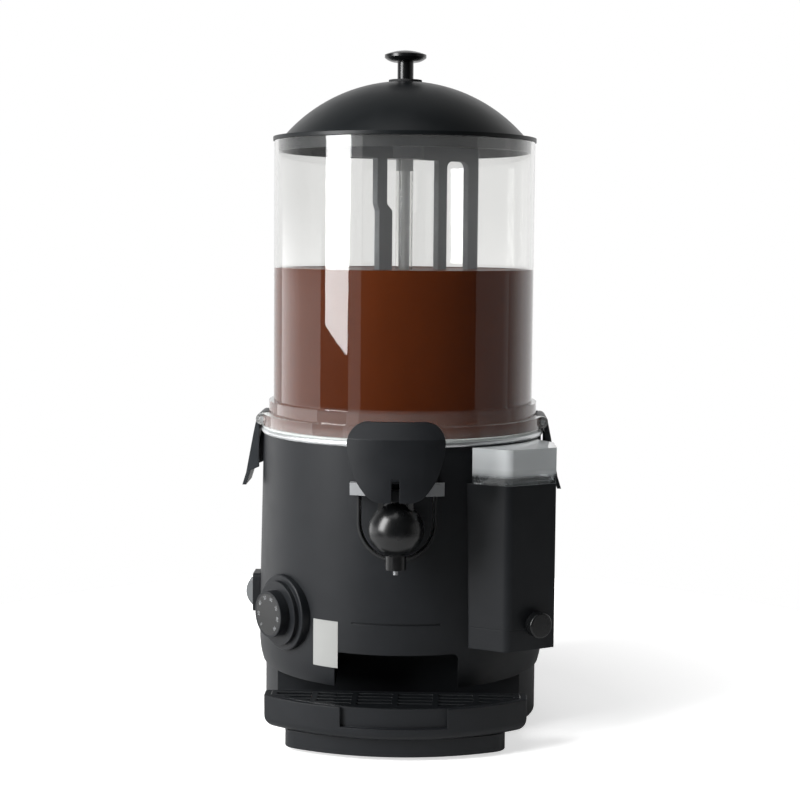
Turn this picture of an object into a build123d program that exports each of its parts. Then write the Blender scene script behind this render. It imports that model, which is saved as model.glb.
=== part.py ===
from build123d import *
from math import asin, cos, radians, sin, sqrt
import os

# Hot chocolate dispenser: a clear bowl with a stirrer hangs in a hot-water bath on a round body.
# Millimetres, +Z up, front towards -Y. The origin is on the counter, under the middle of the whole.

os.makedirs("parts", exist_ok=True)

# Clearances
RUN = 0.05  # round a pin or shaft that turns in its hole
FIT = 0.02  # round a fixed pin, screw or spigot in its hole
LIFT = 0.3  # under or beside a piece that lifts, slides or turns
ROOM = 0.8  # beside a piece that swings or passes close by

# Bowl, from its radius outwards
BOWL_R = 114.0
BOWL_WALL = 3.0
FLOOR_T = 4.0
COLLAR_STEP = 4.0
BATH_GAP = 2.5  # water jacket between bowl and tank
WALL_H = 225.7  # clear wall above the collar
COLLAR_H = 11.0
FLANGE_T = 10.5
BOWL_DROP = 87.5  # how far the bowl hangs into the tank below its flange
RISER_R = 14.5
RISER_WALL = 3.0
RISER_STEP_RISE = 12.0  # step above the tank's tube
RISER_NECK_R = 7.6  # above its step
RISER_NECK_WALL = 1.4
RISER_DROP = 14.7  # riser top below the bowl's rim
GASKET_T = 1.5
CHOCOLATE_LEVEL = 221.0  # depth of the filling above the bowl's floor
CHOCOLATE_RING = 16.0  # thickness of the filling between the wall and the stirrer's path

# Water tank
TANK_WALL = 1.0
TANK_RISE = 81.5  # tank's floor above the casing's lower edge
TANK_ROOM = 2.0  # between tank and casing
RIM_H = 5.0
RIM_OVERHANG = 2.0
FLANGE_IN = 0.5  # bowl's flange inside the rim's edge
RIM_ROUND = 2.2
TANK_TUBE_R = 9.0
TANK_TUBE_WALL = 1.0
TANK_TUBE_H = 100.0
BUSH_H = 10.0
BUSH_FLANGE_T = 2.0

# Casing and base
BODY_WALL = 3.0
BODY_FLARE = 3.0  # how much wider the casing is low down than at its top
BODY_H = 200.5
BODY_STRAIGHT_H = 53.5  # upright stretch before the casing tapers
LIP_T = 3.0
HEEL_H = 20.0  # height over which the casing draws in at its foot
HEEL_IN = 3.0
SKIRT_INSET = 5.5
SKIRT_H = 43.5
BASE_WALL = 3.0
FOOT_DROP = 3.0
BAY_BACK = 60.0  # bay's back wall in front of the bowl's axis
TONGUE_H = 14.5
TONGUE_HALF = 90.0
TONGUE_INSET = 8.0  # tongue's front edge behind the tray's
TONGUE_BOW = 189.0  # radius of its front edge, seen from above
TONGUE_CORNER = 14.0
PLATE_T = 1.5
LEDGE_W = 10.0
LEDGE_T = 3.0
VENT_W = 4.0
VENT_H = 22.0
VENT_COUNT = 7
VENT_STEP = 9.0  # degrees between vents
NICHE_HALF = 51.0
NICHE_H = 29.5
NICHE_CORNER = 5.0
GROOVE_RISE = 54.5  # groove above the casing's lower edge
GROOVE_ARC = 34.0
GROOVE_H = 1.2
GROOVE_DEEP = 0.8
SLOT_HALF = 31.0  # tap slot in the casing and in the tank's rim

# Drip tray
TRAY_UNDER = 9.5  # how far the tray reaches in under the casing
TRAY_DEPTH = 54.0
TRAY_HALF = 107.5
TRAY_H = 25.7
TRAY_WALL = 2.5
TRAY_FRONT_WALL = 6.5
TRAY_EDGE = 7.0
TRAY_CORNER = 3.0
TRAY_END_R = 10.5  # rounds the lower ends, seen from the front
PULL_HALF = 43.0
PULL_DEEP = 3.5
PULL_H = 15.7
GRID_T = 3.0
GRID_LEDGE = 1.6
GRID_SLOT_W = 5.0
GRID_PITCH = 9.0
GRID_ROWS = 4
GRID_EDGE = 5.0
GRID_RIB_PITCH = 33.0
GRID_RIB_W = 5.0
GUIDE_HALF = 40.0  # guide on the tray's back, which runs into the bay
GUIDE_DEEP = 24.0
GUIDE_T = 7.0

# Lid
LID_OVER = 1.0
LID_WALL = 2.5
LID_RIM_T = 3.3
LID_SKIRT_H = 9.5
DOME_INSET = 7.8
DOME_RISE = 49.3
DOME_MID = 22.0  # degrees from the top to a point on the dome's arc
KNOB_R = 18.2
KNOB_T = 10.0
KNOB_STEM_R = 7.0
KNOB_STEM_H = 15.5
KNOB_DISH_R = 14.2  # point on the underside's hollow
KNOB_DISH_H = 1.1
WASHER_R = 14.5
WASHER_T = 1.2
KNOB_SCREW_R = 2.5

# Drive
ROD_R = 4.8
ROD_HEX = 8.0
ROD_HEX_H = 9.0
COUPLING_R = 9.0
COUPLING_H = 18.0
GEARBOX_W = 60.0
GEARBOX_H = 24.0
GEARBOX_CORNER = 4.0
GEARBOX_SCREW_INSET = 7.0
GEARBOX_BOSS_R = 10.0
GEARBOX_BORE_H = 14.0
MOTOR_R = 27.0
MOTOR_H = 42.0
BRACKET_T = 2.0
BRACKET_H = 97.5
BRACKET_FOOT = 14.0
SCREW_R = 2.0
SCREW_HEAD_R = 3.6
SCREW_HEAD_T = 2.0
SCREW_L = 9.0

# Stirrer
STIR_TURN = 40.0  # how far the frame is turned from facing the front
HUB_R = 13.0
HUB_H = 12.0
CROSSBAR_H = 12.0
CROSSBAR_T = 10.0
BAR_T = 7.0
OUTER_RIGHT_IN = 13.0  # outer bars' middles inside the blade's tips
OUTER_LEFT_IN = 20.0
OUTER_BAR_W = 12.0
JOG_Z = 447.0  # where the inner left bar steps outwards
JOG_H = 6.0
JOG_OUT = 2.3
JOG_IN = 5.8
ARCH_R = 6.5  # under the cross bar, between the two right bars
BLADE_GAP = 4.7  # between the blade's tip and the ring of filling
BLADE_H = 12.0
BLADE_CLEAR = 3.5

# Tap
TAP_REACH = 21.5  # ball's centre in front of the casing
TAP_BALL_R = 22.5
TAP_RISE = 18.5  # spout's centre above the bowl's underside
SPOUT_R = 15.0
SPOUT_BORE = 9.0
SPOUT_L = 7.0
TAP_BORE = 8.0
NECK_COLLAR_R = 19.0
NECK_COLLAR_T = 4.0
NOZZLE_R = 8.5
NOZZLE_BORE = 5.0
NOZZLE_L = 11.5
NOZZLE_THREAD_R = 7.0
NOZZLE_THREAD_H = 4.0
BALL_FLAT = 2.0  # flat cut under the ball, where the nozzle seats
STEM_R = 4.0
NEEDLE_R = 2.0
NEEDLE_OUT = 4.5  # needle tip below the nozzle
NEEDLE_IN = 6.0  # needle's socket in the piston
VALVE_R = 7.2
VALVE_T = 3.2
SEAL_T = 1.5
CHAMBER_H = 30.0
STEM_HEAD_T = 3.0
STEM_HEAD_R = 7.0
PIVOT_AHEAD = 9.0  # lever's pin in front of the valve stem
PIVOT_RISE = 29.5  # lever's pin above the ball's centre
PIN_R = 2.0
EAR_T = 4.0
EAR_R = 5.5
LEVER_HUB_HALF = 9.7
LEVER_HUB_R = 4.4
LEVER_T = 4.0
LEVER_AHEAD = 7.5  # back of the lever's plate in front of the pin
LEVER_BOW = 90.0  # radius of the plate's bow, seen from above
LEVER_DOWN = 5.0  # plate's lower edge below the pin
LEVER_UP = 58.0
LEVER_BAND = 13.0  # height of the band that leans back at the top
LEVER_LEAN = 10.5
LEVER_SWEEP = 28.0  # half the bow's angle
LEVER_CORNER = 17.0

# Lever's right edge seen from the front: half width, rise above the pin
LEVER_SIDE = ((19.7, -5.0), (24.4, 1.3), (32.1, 12.4), (36.0, 22.7), (38.6, 33.5), (39.2, 40.5))

LEVER_SLOT_HALF = 3.2
LEVER_SLOT_H = 19.0
STEM_GAP = 4.6  # half width of the fork's slot
PRONG_REACH = 12.0
PRONG_TOP = 5.0
YOKE_HALF = 38.5
YOKE_H = 10.0
YOKE_DEEP = 8.0
YOKE_PAD_HALF = 12.0
FACE_GAP = 1.8

# Latches
LATCH_HALF = 20.0
LATCH_PIN_IN = 1.5  # pin's centre inside the flange's edge
LATCH_PIN_RISE = 5.5  # pin's centre above the flange's underside
LATCH_BOSS_R = 5.0
LATCH_PLATE_T = 3.4
LATCH_CHEEK_T = 3.0
LATCH_DROP = 59.0
LATCH_CHEEK_DROP = 48.0
LATCH_TIP_OUT = 17.5  # tip's outer edge beyond the pin
LATCH_TOP_OUT = 4.6
LUG_T = 6.0
LUG_R = 4.8

# Thermostat
DIAL_AZIMUTH = -50.0
DIAL_RISE = 54.5  # above the casing's lower edge
DIAL_R = 19.4
DIAL_T = 8.5
DIAL_FACE_R = 17.4
DIAL_FACE_T = 0.8
BEZEL_R = 32.0
BEZEL_OUT = 4.0
BEZEL_RING_R = 27.0
BEZEL_RING_T = 4.0
SPINDLE_R = 3.0
SPINDLE_IN = 6.0
THERMOSTAT_W = 32.0
THERMOSTAT_H = 34.0
THERMOSTAT_DEEP = 22.0
THERMOSTAT_NECK_R = 5.0

# Power switch
SWITCH_AZIMUTH = -90.0
SWITCH_RISE = 55.5
SWITCH_W = 26.0
SWITCH_H = 34.0
SWITCH_CORNER = 4.0
SWITCH_OUT = 6.0
SWITCH_BODY_W = 20.0
SWITCH_BODY_H = 27.0
SWITCH_BODY_DEEP = 26.0
ROCKER_HALF_W = 8.5
ROCKER_HALF_H = 10.8
ROCKER_HEEL = 1.0  # back of the rocker in front of its pin
ROCKER_EDGE = 2.2  # ends in front of the bezel
ROCKER_CROWN = 6.2  # crown in front of the bezel
ROCKER_REST = 8.0  # tilt at rest, in degrees
ROCKER_ROOM = 2.0  # window above and below the rocker
ROCKER_BACK = 4.0  # pivot behind the bezel's front
ROCKER_PIN_R = 1.5
ROCKER_PIN_OUT = 2.0  # pin's ends beside the rocker

# Water filler: azimuth in degrees, and how far each corner stands off the casing
BOX_CORNERS = ((25.9, -6.0), (36.0, 29.3), (51.8, 40.3), (62.4, 21.2), (69.6, -6.0))
BOX_ROUND = 9.0  # front corner, seen from above
BOX_WALL = 2.5
BOX_RISE = 51.5  # seam above the casing's lower edge
BOX_DROP = 30.0  # box's rim below the casing's top
BOX_CAP_H = 18.0
FILLER_CAP_H = 29.5
FILLER_LIP_H = 5.0
CAP_GAP = 2.6  # between the cap's back and the rim that it passes
PIPE_R = 6.0
PIPE_WALL = 1.2
PIPE_AZIMUTH = 46.0
PIPE_RISE = 14.0  # above the tank's floor
PLUG_ALONG = 0.58  # share of the way along the box's right front face
PLUG_RISE = 4.0  # above the seam
PLUG_R = 10.5
PLUG_T = 9.0
PLUG_STEM_R = 5.0
PLUG_STEM_L = 8.0
PLUG_SEAL_T = 1.2
SPIGOT_R = 8.5

# Heater, cut-out, terminal block, cord gland
HEATER_R = 70.0
HEATER_TUBE_R = 4.0
HEATER_RISE = 9.0
HEATER_LEG = 12.0  # leg below the tank's floor
HEATER_GAP = 24.0  # degrees between the legs
HEATER_NUT_R = 8.0
HEATER_NUT_T = 6.0
CUTOUT_R = 8.0
CUTOUT_H = 8.0
TERMINAL_L = 42.0
TERMINAL_W = 18.0
TERMINAL_H = 16.0
GLAND_AZIMUTH = 180.0
GLAND_RISE = 34.0
GLAND_R = 8.0
GLAND_FLANGE_R = 12.0
GLAND_FLANGE_T = 3.0
GLAND_OUT = 10.5
GLAND_NUT_T = 4.0
CORD_R = 3.6

# Feet
FOOT_R = 10.0
FOOT_STEM_R = 3.5
FOOT_STEM_L = 4.0
FOOT_EDGE = 4.0  # front feet inside the tongue's sides
FRONT_FOOT_BACK = 36.0  # front feet behind the tongue's front edge
REAR_FOOT_IN = 9.5  # rear feet inside the ledge
REAR_FOOT_AZIMUTH = 132.5

# Radii that follow from the bowl
TANK_R = BOWL_R + BATH_GAP
BODY_TOP_R = TANK_R + TANK_WALL + TANK_ROOM + BODY_WALL
BODY_R = BODY_TOP_R + BODY_FLARE
RIM_R = BODY_TOP_R + RIM_OVERHANG
FLANGE_R = RIM_R - FLANGE_IN
COLLAR_R = BOWL_R + COLLAR_STEP
SKIRT_R = BODY_R - SKIRT_INSET
TRAY_BACK = BODY_R - TRAY_UNDER
TRAY_R = TRAY_BACK + TRAY_DEPTH
TONGUE_R = TRAY_R - TONGUE_INSET
AXIS_Y = (TRAY_R - BODY_R - GLAND_OUT) / 2
FILL_R = BOWL_R - BOWL_WALL - LIFT
BLADE_REACH = FILL_R - CHOCOLATE_RING - BLADE_GAP

# Stirrer's hanging bars: middle along the cross bar, width
BARS = {
    "inner_left": (-23.0, 14.0),
    "inner_right": (41.0, 9.5),
    "outer_right": (BLADE_REACH - OUTER_RIGHT_IN, OUTER_BAR_W),
    "outer_left": (OUTER_LEFT_IN - BLADE_REACH, OUTER_BAR_W),
}

# Heights, from the counter up
BASE_Z = FOOT_DROP
TONGUE_Z = BASE_Z + TONGUE_H
BODY_Z = BASE_Z + SKIRT_H
TAPER_Z = BODY_Z + BODY_STRAIGHT_H
BODY_TOP = BODY_Z + BODY_H
RIM_Z = BODY_TOP + RIM_H
FLANGE_Z = RIM_Z + GASKET_T
COLLAR_Z = FLANGE_Z + FLANGE_T
WALL_Z = COLLAR_Z + COLLAR_H
BOWL_TOP = WALL_Z + WALL_H
BOWL_Z = FLANGE_Z - BOWL_DROP
FLOOR_Z = BOWL_Z + FLOOR_T
RISER_TOP = BOWL_TOP - RISER_DROP
TANK_Z = BODY_Z + TANK_RISE
TUBE_TOP = TANK_Z + TANK_TUBE_H
RISER_STEP_Z = TUBE_TOP + RISER_STEP_RISE
TAP_Z = BOWL_Z + TAP_RISE
PIVOT_Z = TAP_Z + PIVOT_RISE
TAP_R = BODY_R + TAP_REACH
PIVOT_R = TAP_R + PIVOT_AHEAD
BALL_Z = TAP_Z - TAP_BALL_R + BALL_FLAT
SEAT_Z = BALL_Z + NOZZLE_THREAD_H
CHAMBER_TOP = SEAT_Z + CHAMBER_H
VALVE_Z = SEAT_Z + LIFT + SEAL_T
HEAD_Z = PIVOT_Z + PRONG_TOP + LIFT
PLATE_TOP = BASE_Z + PLATE_T
BRACKET_TOP = PLATE_TOP + BRACKET_H
GEARBOX_TOP = BRACKET_TOP - BRACKET_T
DIAL_Z = BODY_Z + DIAL_RISE
SWITCH_Z = BODY_Z + SWITCH_RISE
SEAM_Z = BODY_Z + BOX_RISE
BOX_TOP = BODY_TOP - BOX_DROP
BOX_H = BOX_TOP - SEAM_Z
GLAND_Z = BODY_Z + GLAND_RISE
LATCH_U = FLANGE_R - LATCH_PIN_IN
LATCH_Z = FLANGE_Z + LATCH_PIN_RISE
LID_Z = BOWL_TOP + LIFT
DOME_Z = LID_Z + LID_RIM_T
DOME_R = BOWL_R - DOME_INSET
DOME_TOP = DOME_Z + DOME_RISE
HUB_Z = RISER_TOP + LIFT
FAR = 2 * TRAY_R  # longer than any cut needs


def level(height):
    """Level plane on the bowl's axis."""
    return Plane(origin=(0, AXIS_Y, height))


def facing(azimuth, height, reach=0.0):
    """Upright plane that faces out from the bowl's axis. Azimuth 0 is the front, 90 the right side."""
    x, y = sin(radians(azimuth)), -cos(radians(azimuth))
    return Plane(origin=(x * reach, AXIS_Y + y * reach, height), x_dir=(-y, x, 0), z_dir=(x, y, 0))


def section(azimuth):
    """Upright plane through the bowl's axis: radius across, height up."""
    x, y = sin(radians(azimuth)), -cos(radians(azimuth))
    return Plane(origin=(0, AXIS_Y, 0), x_dir=(x, y, 0), z_dir=(y, -x, 0))


def polygon(plane, points):
    """Flat face from straight-sided corners."""
    with BuildSketch(plane) as face:
        with BuildLine():
            Polyline(*points, close=True)
        make_face()
    return face.sketch


def ring(inner, outer, low, high):
    """Half section of a plain ring about the bowl's axis."""
    return polygon(section(90), [(inner, low), (outer, low), (outer, high), (inner, high)])


def casing_r(height):
    """Casing's outer radius at a height."""
    share = max(0.0, (height - TAPER_Z) / (BODY_TOP - TAPER_Z))
    return BODY_R - BODY_FLARE * share


def casing_core(grow):
    """Half section of everything inside the casing's outer face, grown outwards."""
    low, high = 0, BODY_TOP + RIM_H
    points = [(0, low), (BODY_R + grow, low), (BODY_R + grow, TAPER_Z), (BODY_TOP_R + grow, BODY_TOP)]
    return polygon(section(90), points + [(BODY_TOP_R + grow, high), (0, high)])


def slot_outline(half, centre):
    """U-shaped slot, open upwards, seen from the front. Its round end is about the tap's centre."""
    with BuildSketch(facing(0, centre)) as face:
        Circle(half)
        with Locations((0, BODY_H / 2)):
            Rectangle(2 * half, BODY_H)
    return face.sketch


def box_outline(height, inset, back):
    """Filler box seen from above: its corners stand off the casing, its back follows a circle."""
    corners = []
    for azimuth, off in BOX_CORNERS:
        reach = BODY_R + off
        corners.append((reach * sin(radians(azimuth)), -reach * cos(radians(azimuth))))
    with BuildSketch(level(height)) as face:
        with BuildLine():
            Polyline(*corners, close=True)
        make_face()
        fillet(face.vertices().sort_by(Axis.Y)[0], radius=BOX_ROUND)
        if inset:
            offset(amount=-inset, kind=Kind.INTERSECTION, mode=Mode.REPLACE)
        Circle(back, mode=Mode.SUBTRACT)
    return face.sketch


AXIS = Axis((0, AXIS_Y, 0), (0, 0, 1))
VENT_AZIMUTHS = [180 + VENT_STEP * (i - (VENT_COUNT - 1) / 2) for i in range(VENT_COUNT)]
FRONT_FOOT = (TONGUE_HALF - FOOT_R - FOOT_EDGE, FRONT_FOOT_BACK - TONGUE_R)
REAR_FOOT_R = SKIRT_R - BASE_WALL - LEDGE_W - REAR_FOOT_IN
REAR_FOOT = (REAR_FOOT_R * sin(radians(REAR_FOOT_AZIMUTH)), -REAR_FOOT_R * cos(radians(REAR_FOOT_AZIMUTH)))
FEET = [(side * x, y) for side in (-1, 1) for x, y in (FRONT_FOOT, REAR_FOOT)]
PLATE_SCREW_R = SKIRT_R - BASE_WALL - LEDGE_W / 2
PLATE_SCREW_AZIMUTHS = (75, 145, 215, 285)
PLATE_SCREWS = []
for turn in PLATE_SCREW_AZIMUTHS:
    PLATE_SCREWS.append((PLATE_SCREW_R * sin(radians(turn)), -PLATE_SCREW_R * cos(radians(turn))))
GEARBOX_SCREWS = GEARBOX_W - 2 * GEARBOX_SCREW_INSET
SWITCH_FRONT = BODY_R + SWITCH_OUT
ROCKER_R = SWITCH_FRONT - ROCKER_BACK

# Base: C-shaped skirt, wall behind the tray's bay, tongue under the tray, ledge for the bottom plate
with BuildPart() as base:
    with BuildSketch(level(BASE_Z)):
        Circle(SKIRT_R)
        Circle(SKIRT_R - BASE_WALL, mode=Mode.SUBTRACT)
        with Locations((0, -BAY_BACK - SKIRT_R / 2)):
            Rectangle(FAR, SKIRT_R, mode=Mode.SUBTRACT)
        with Locations((0, -BAY_BACK + BASE_WALL / 2)):
            Rectangle(2 * sqrt(SKIRT_R**2 - BAY_BACK**2), BASE_WALL)
    extrude(amount=SKIRT_H)
    with BuildSketch(level(BASE_Z)) as tongue:
        with Locations((0, TONGUE_BOW - TONGUE_R)):
            Circle(TONGUE_BOW)
        with Locations((0, -(TONGUE_R + BAY_BACK) / 2)):
            Rectangle(2 * TONGUE_HALF, TONGUE_R - BAY_BACK, mode=Mode.INTERSECT)
        fillet(tongue.vertices().group_by(Axis.Y)[0], radius=TONGUE_CORNER)
    extrude(amount=TONGUE_H)
    with BuildSketch(level(BASE_Z)) as hollow:
        add(tongue.sketch_local)
        offset(amount=-BASE_WALL, mode=Mode.REPLACE)
    extrude(amount=TONGUE_H - BASE_WALL, mode=Mode.SUBTRACT)
    with BuildSketch(level(PLATE_TOP)):
        Circle(SKIRT_R - BASE_WALL / 2)
        Circle(SKIRT_R - BASE_WALL - LEDGE_W, mode=Mode.SUBTRACT)
        with Locations((0, -BAY_BACK - SKIRT_R / 2 + BASE_WALL / 2)):
            Rectangle(FAR, SKIRT_R, mode=Mode.SUBTRACT)
    extrude(amount=LEDGE_T)
    with BuildSketch(level(BASE_Z)):
        with Locations(*[(x, y) for x, y in FEET if y < 0]):
            Circle(FOOT_R)
    extrude(amount=TONGUE_H)
    with BuildSketch(level(BASE_Z)):
        with Locations(*[(x, y) for x, y in FEET if y < 0]):
            Circle(FOOT_STEM_R + FIT)
    extrude(amount=FOOT_STEM_L + LIFT, mode=Mode.SUBTRACT)
    with BuildSketch(level(BASE_Z)):
        with Locations(*PLATE_SCREWS):
            Circle(SCREW_R + FIT)
    extrude(amount=SCREW_L + LIFT, mode=Mode.SUBTRACT)
    for azimuth in VENT_AZIMUTHS:
        with BuildSketch(facing(azimuth, BASE_Z + SKIRT_H / 2)):
            SlotOverall(VENT_H, VENT_W, rotation=90)
        extrude(amount=FAR, mode=Mode.SUBTRACT)
    hood_half, hood_h = NICHE_HALF + LIFT + BASE_WALL, NICHE_H + LIFT + BASE_WALL
    for wall, mode in ((0, Mode.ADD), (BASE_WALL, Mode.SUBTRACT)):
        with BuildSketch(level(BODY_Z)):
            Circle(SKIRT_R - BASE_WALL - LIFT + wall)
            with Locations((0, -BAY_BACK - SKIRT_R / 2 + BASE_WALL - wall)):
                Rectangle(2 * (hood_half - wall), SKIRT_R, mode=Mode.INTERSECT)
        extrude(amount=hood_h - wall, mode=mode)
base.part.label = "base"
export_step(base.part, "parts/base.step")

# Bottom plate: pressed steel, closes the base behind the bay
with BuildPart() as bottom_plate:
    with BuildSketch(level(BASE_Z)):
        Circle(SKIRT_R - BASE_WALL - LIFT)
        with Locations((0, -BAY_BACK - SKIRT_R / 2 + BASE_WALL + LIFT)):
            Rectangle(FAR, SKIRT_R, mode=Mode.SUBTRACT)
        with Locations(*[(x, y) for x, y in FEET if y > 0]):
            Circle(FOOT_STEM_R + FIT, mode=Mode.SUBTRACT)
        with Locations(*PLATE_SCREWS):
            Circle(SCREW_R + FIT, mode=Mode.SUBTRACT)
    extrude(amount=PLATE_T)
bottom_plate.part.label = "bottom_plate"
export_step(bottom_plate.part, "parts/bottom_plate.step")

# Rubber feet: pads with stems pushed into the tongue and the bottom plate
with BuildPart() as rubber_feet:
    with BuildSketch(level(0)):
        with Locations(*FEET):
            Circle(FOOT_R)
    extrude(amount=FOOT_DROP)
    with BuildSketch(level(FOOT_DROP)):
        with Locations(*FEET):
            Circle(FOOT_STEM_R)
    extrude(amount=FOOT_STEM_L)
rubber_feet.part.label = "rubber_feet"
export_step(rubber_feet.part, "parts/rubber_feet.step")

# Plate screws: up through the bottom plate into the base's ledge
with BuildPart() as plate_screws:
    with BuildSketch(level(BASE_Z - SCREW_HEAD_T)):
        with Locations(*PLATE_SCREWS):
            Circle(SCREW_HEAD_R)
    extrude(amount=SCREW_HEAD_T)
    with BuildSketch(level(BASE_Z)):
        with Locations(*PLATE_SCREWS):
            Circle(SCREW_R)
    extrude(amount=PLATE_T + LEDGE_T)
plate_screws.part.label = "plate_screws"
export_step(plate_screws.part, "parts/plate_screws.step")

# Casing: one tapered shell, drawn in at its foot, with a lip that stands on the skirt
with BuildPart() as body_shell:
    inner_r, top_inner_r, lip_r = BODY_R - BODY_WALL, BODY_TOP_R - BODY_WALL, SKIRT_R - BASE_WALL
    heel_r, heel_z = BODY_R - HEEL_IN, BODY_Z + HEEL_H
    lip_z = BODY_Z + LIP_T
    outer = [(BODY_R, heel_z), (BODY_R, TAPER_Z), (BODY_TOP_R, BODY_TOP)]
    inner = [(top_inner_r, BODY_TOP), (inner_r, TAPER_Z), (inner_r, heel_z), (heel_r - BODY_WALL, lip_z)]
    lip = [(lip_r, lip_z), (lip_r, BODY_Z), (heel_r, BODY_Z)]
    with BuildSketch(section(90)):
        with BuildLine():
            TangentArc((BODY_R, heel_z), (heel_r, BODY_Z), tangent=(0, -1))
            Polyline(*outer, *inner, *lip)
        make_face()
    revolve(axis=AXIS)
    extrude(slot_outline(SLOT_HALF, TAP_Z + FACE_GAP), amount=FAR, mode=Mode.SUBTRACT)
    with BuildSketch(facing(0, BODY_Z)) as niche:
        with Locations((0, (NICHE_H - LIP_T) / 2)):
            Rectangle(2 * NICHE_HALF, NICHE_H + LIP_T)
        fillet(niche.vertices().group_by(Axis.Y)[-1], radius=NICHE_CORNER)
    extrude(amount=FAR, mode=Mode.SUBTRACT)
    groove_z = BODY_Z + GROOVE_RISE
    with BuildSketch(section(-GROOVE_ARC / 2)):
        with Locations((BODY_R, groove_z + GROOVE_H / 2)):
            Rectangle(2 * GROOVE_DEEP, GROOVE_H)
    revolve(axis=AXIS, revolution_arc=GROOVE_ARC, mode=Mode.SUBTRACT)
    with BuildSketch(facing(DIAL_AZIMUTH, DIAL_Z)):
        Circle(THERMOSTAT_NECK_R + FIT)
    extrude(amount=FAR, mode=Mode.SUBTRACT)
    with BuildSketch(facing(SWITCH_AZIMUTH, SWITCH_Z)):
        Rectangle(SWITCH_BODY_W + 2 * FIT, SWITCH_BODY_H + 2 * FIT)
    extrude(amount=FAR, mode=Mode.SUBTRACT)
    with BuildSketch(facing(PIPE_AZIMUTH, TANK_Z + PIPE_RISE)):
        Circle(PIPE_R + FIT)
    extrude(amount=FAR, mode=Mode.SUBTRACT)
    with BuildSketch(facing(GLAND_AZIMUTH, GLAND_Z)):
        Circle(GLAND_R + FIT)
    extrude(amount=FAR, mode=Mode.SUBTRACT)
body_shell.part.label = "body_shell"
export_step(body_shell.part, "parts/body_shell.step")

# Water tank: deep-drawn steel pot with a rolled bright rim and a tube for the drive rod
with BuildPart() as water_tank:
    tube_in = TANK_TUBE_R - TANK_TUBE_WALL
    outer_r, under_z = TANK_R + TANK_WALL, TANK_Z - TANK_WALL
    wall = [(tube_in, under_z), (outer_r, under_z), (outer_r, BODY_TOP)]
    rim = [(RIM_R, BODY_TOP), (RIM_R, RIM_Z), (TANK_R, RIM_Z), (TANK_R, TANK_Z)]
    tube = [(TANK_TUBE_R, TANK_Z), (TANK_TUBE_R, TUBE_TOP), (tube_in, TUBE_TOP)]
    revolve(polygon(section(90), wall + rim + tube), axis=AXIS)
    rim_edges = water_tank.edges().filter_by(GeomType.CIRCLE).filter_by(lambda e: e.radius > RIM_R - FIT)
    fillet(rim_edges, radius=RIM_ROUND)
    extrude(slot_outline(SPOUT_R + BATH_GAP, TAP_Z), amount=FAR, mode=Mode.SUBTRACT)
    with BuildSketch(facing(0, BODY_TOP + RIM_H / 2, TANK_R - TANK_WALL - BODY_WALL)):
        Rectangle(2 * SLOT_HALF, 2 * RIM_H)
    extrude(amount=FAR, mode=Mode.SUBTRACT)
    with BuildSketch(facing(PIPE_AZIMUTH, TANK_Z + PIPE_RISE)):
        Circle(PIPE_R + FIT)
    extrude(amount=FAR, mode=Mode.SUBTRACT)
    for side in (-1, 1):
        spot = facing(180 + side * HEATER_GAP / 2, TANK_Z, HEATER_R).origin
        with BuildSketch(Plane(origin=spot)):
            Circle(HEATER_TUBE_R + FIT)
        extrude(amount=-2 * TANK_WALL, mode=Mode.SUBTRACT)
water_tank.part.label = "water_tank"
export_step(water_tank.part, "parts/water_tank.step")

# Heater: round sheathed element in the water, with legs and nuts through the tank's floor
with BuildPart() as heater:
    heater_z = TANK_Z + HEATER_RISE
    with BuildSketch(section(180 + HEATER_GAP / 2)):
        with Locations((HEATER_R, heater_z)):
            Circle(HEATER_TUBE_R)
    revolve(axis=AXIS, revolution_arc=360 - HEATER_GAP)
    for side in (-1, 1):
        spot = facing(180 + side * HEATER_GAP / 2, TANK_Z - HEATER_LEG, HEATER_R).origin
        with BuildSketch(Plane(origin=spot)):
            Circle(HEATER_TUBE_R)
        extrude(amount=HEATER_LEG + HEATER_RISE)
        with Locations(spot + Vector(0, 0, HEATER_LEG + HEATER_RISE)):
            Sphere(HEATER_TUBE_R)
        with BuildSketch(Plane(origin=spot + Vector(0, 0, HEATER_LEG - TANK_WALL - HEATER_NUT_T))):
            RegularPolygon(HEATER_NUT_R, 6)
        extrude(amount=HEATER_NUT_T)
heater.part.label = "heater"
export_step(heater.part, "parts/heater.step")

# Thermal cut-out: disc thermostat against the tank's underside
with BuildPart() as thermal_cutout:
    with BuildSketch(level(TANK_Z - TANK_WALL)):
        with Locations((HEATER_R / 2, HEATER_R / 2)):
            Circle(CUTOUT_R)
    extrude(amount=-CUTOUT_H)
thermal_cutout.part.label = "thermal_cutout"
export_step(thermal_cutout.part, "parts/thermal_cutout.step")

# Rod bush: flanged plain bearing in the top of the tank's tube
with BuildPart() as rod_bush:
    bush_r = TANK_TUBE_R - TANK_TUBE_WALL
    low = [(ROD_R + RUN, TUBE_TOP - BUSH_H), (bush_r, TUBE_TOP - BUSH_H), (bush_r, TUBE_TOP)]
    flange = [(TANK_TUBE_R, TUBE_TOP), (TANK_TUBE_R, TUBE_TOP + BUSH_FLANGE_T)]
    revolve(polygon(section(90), low + flange + [(ROD_R + RUN, TUBE_TOP + BUSH_FLANGE_T)]), axis=AXIS)
rod_bush.part.label = "rod_bush"
export_step(rod_bush.part, "parts/rod_bush.step")

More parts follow.
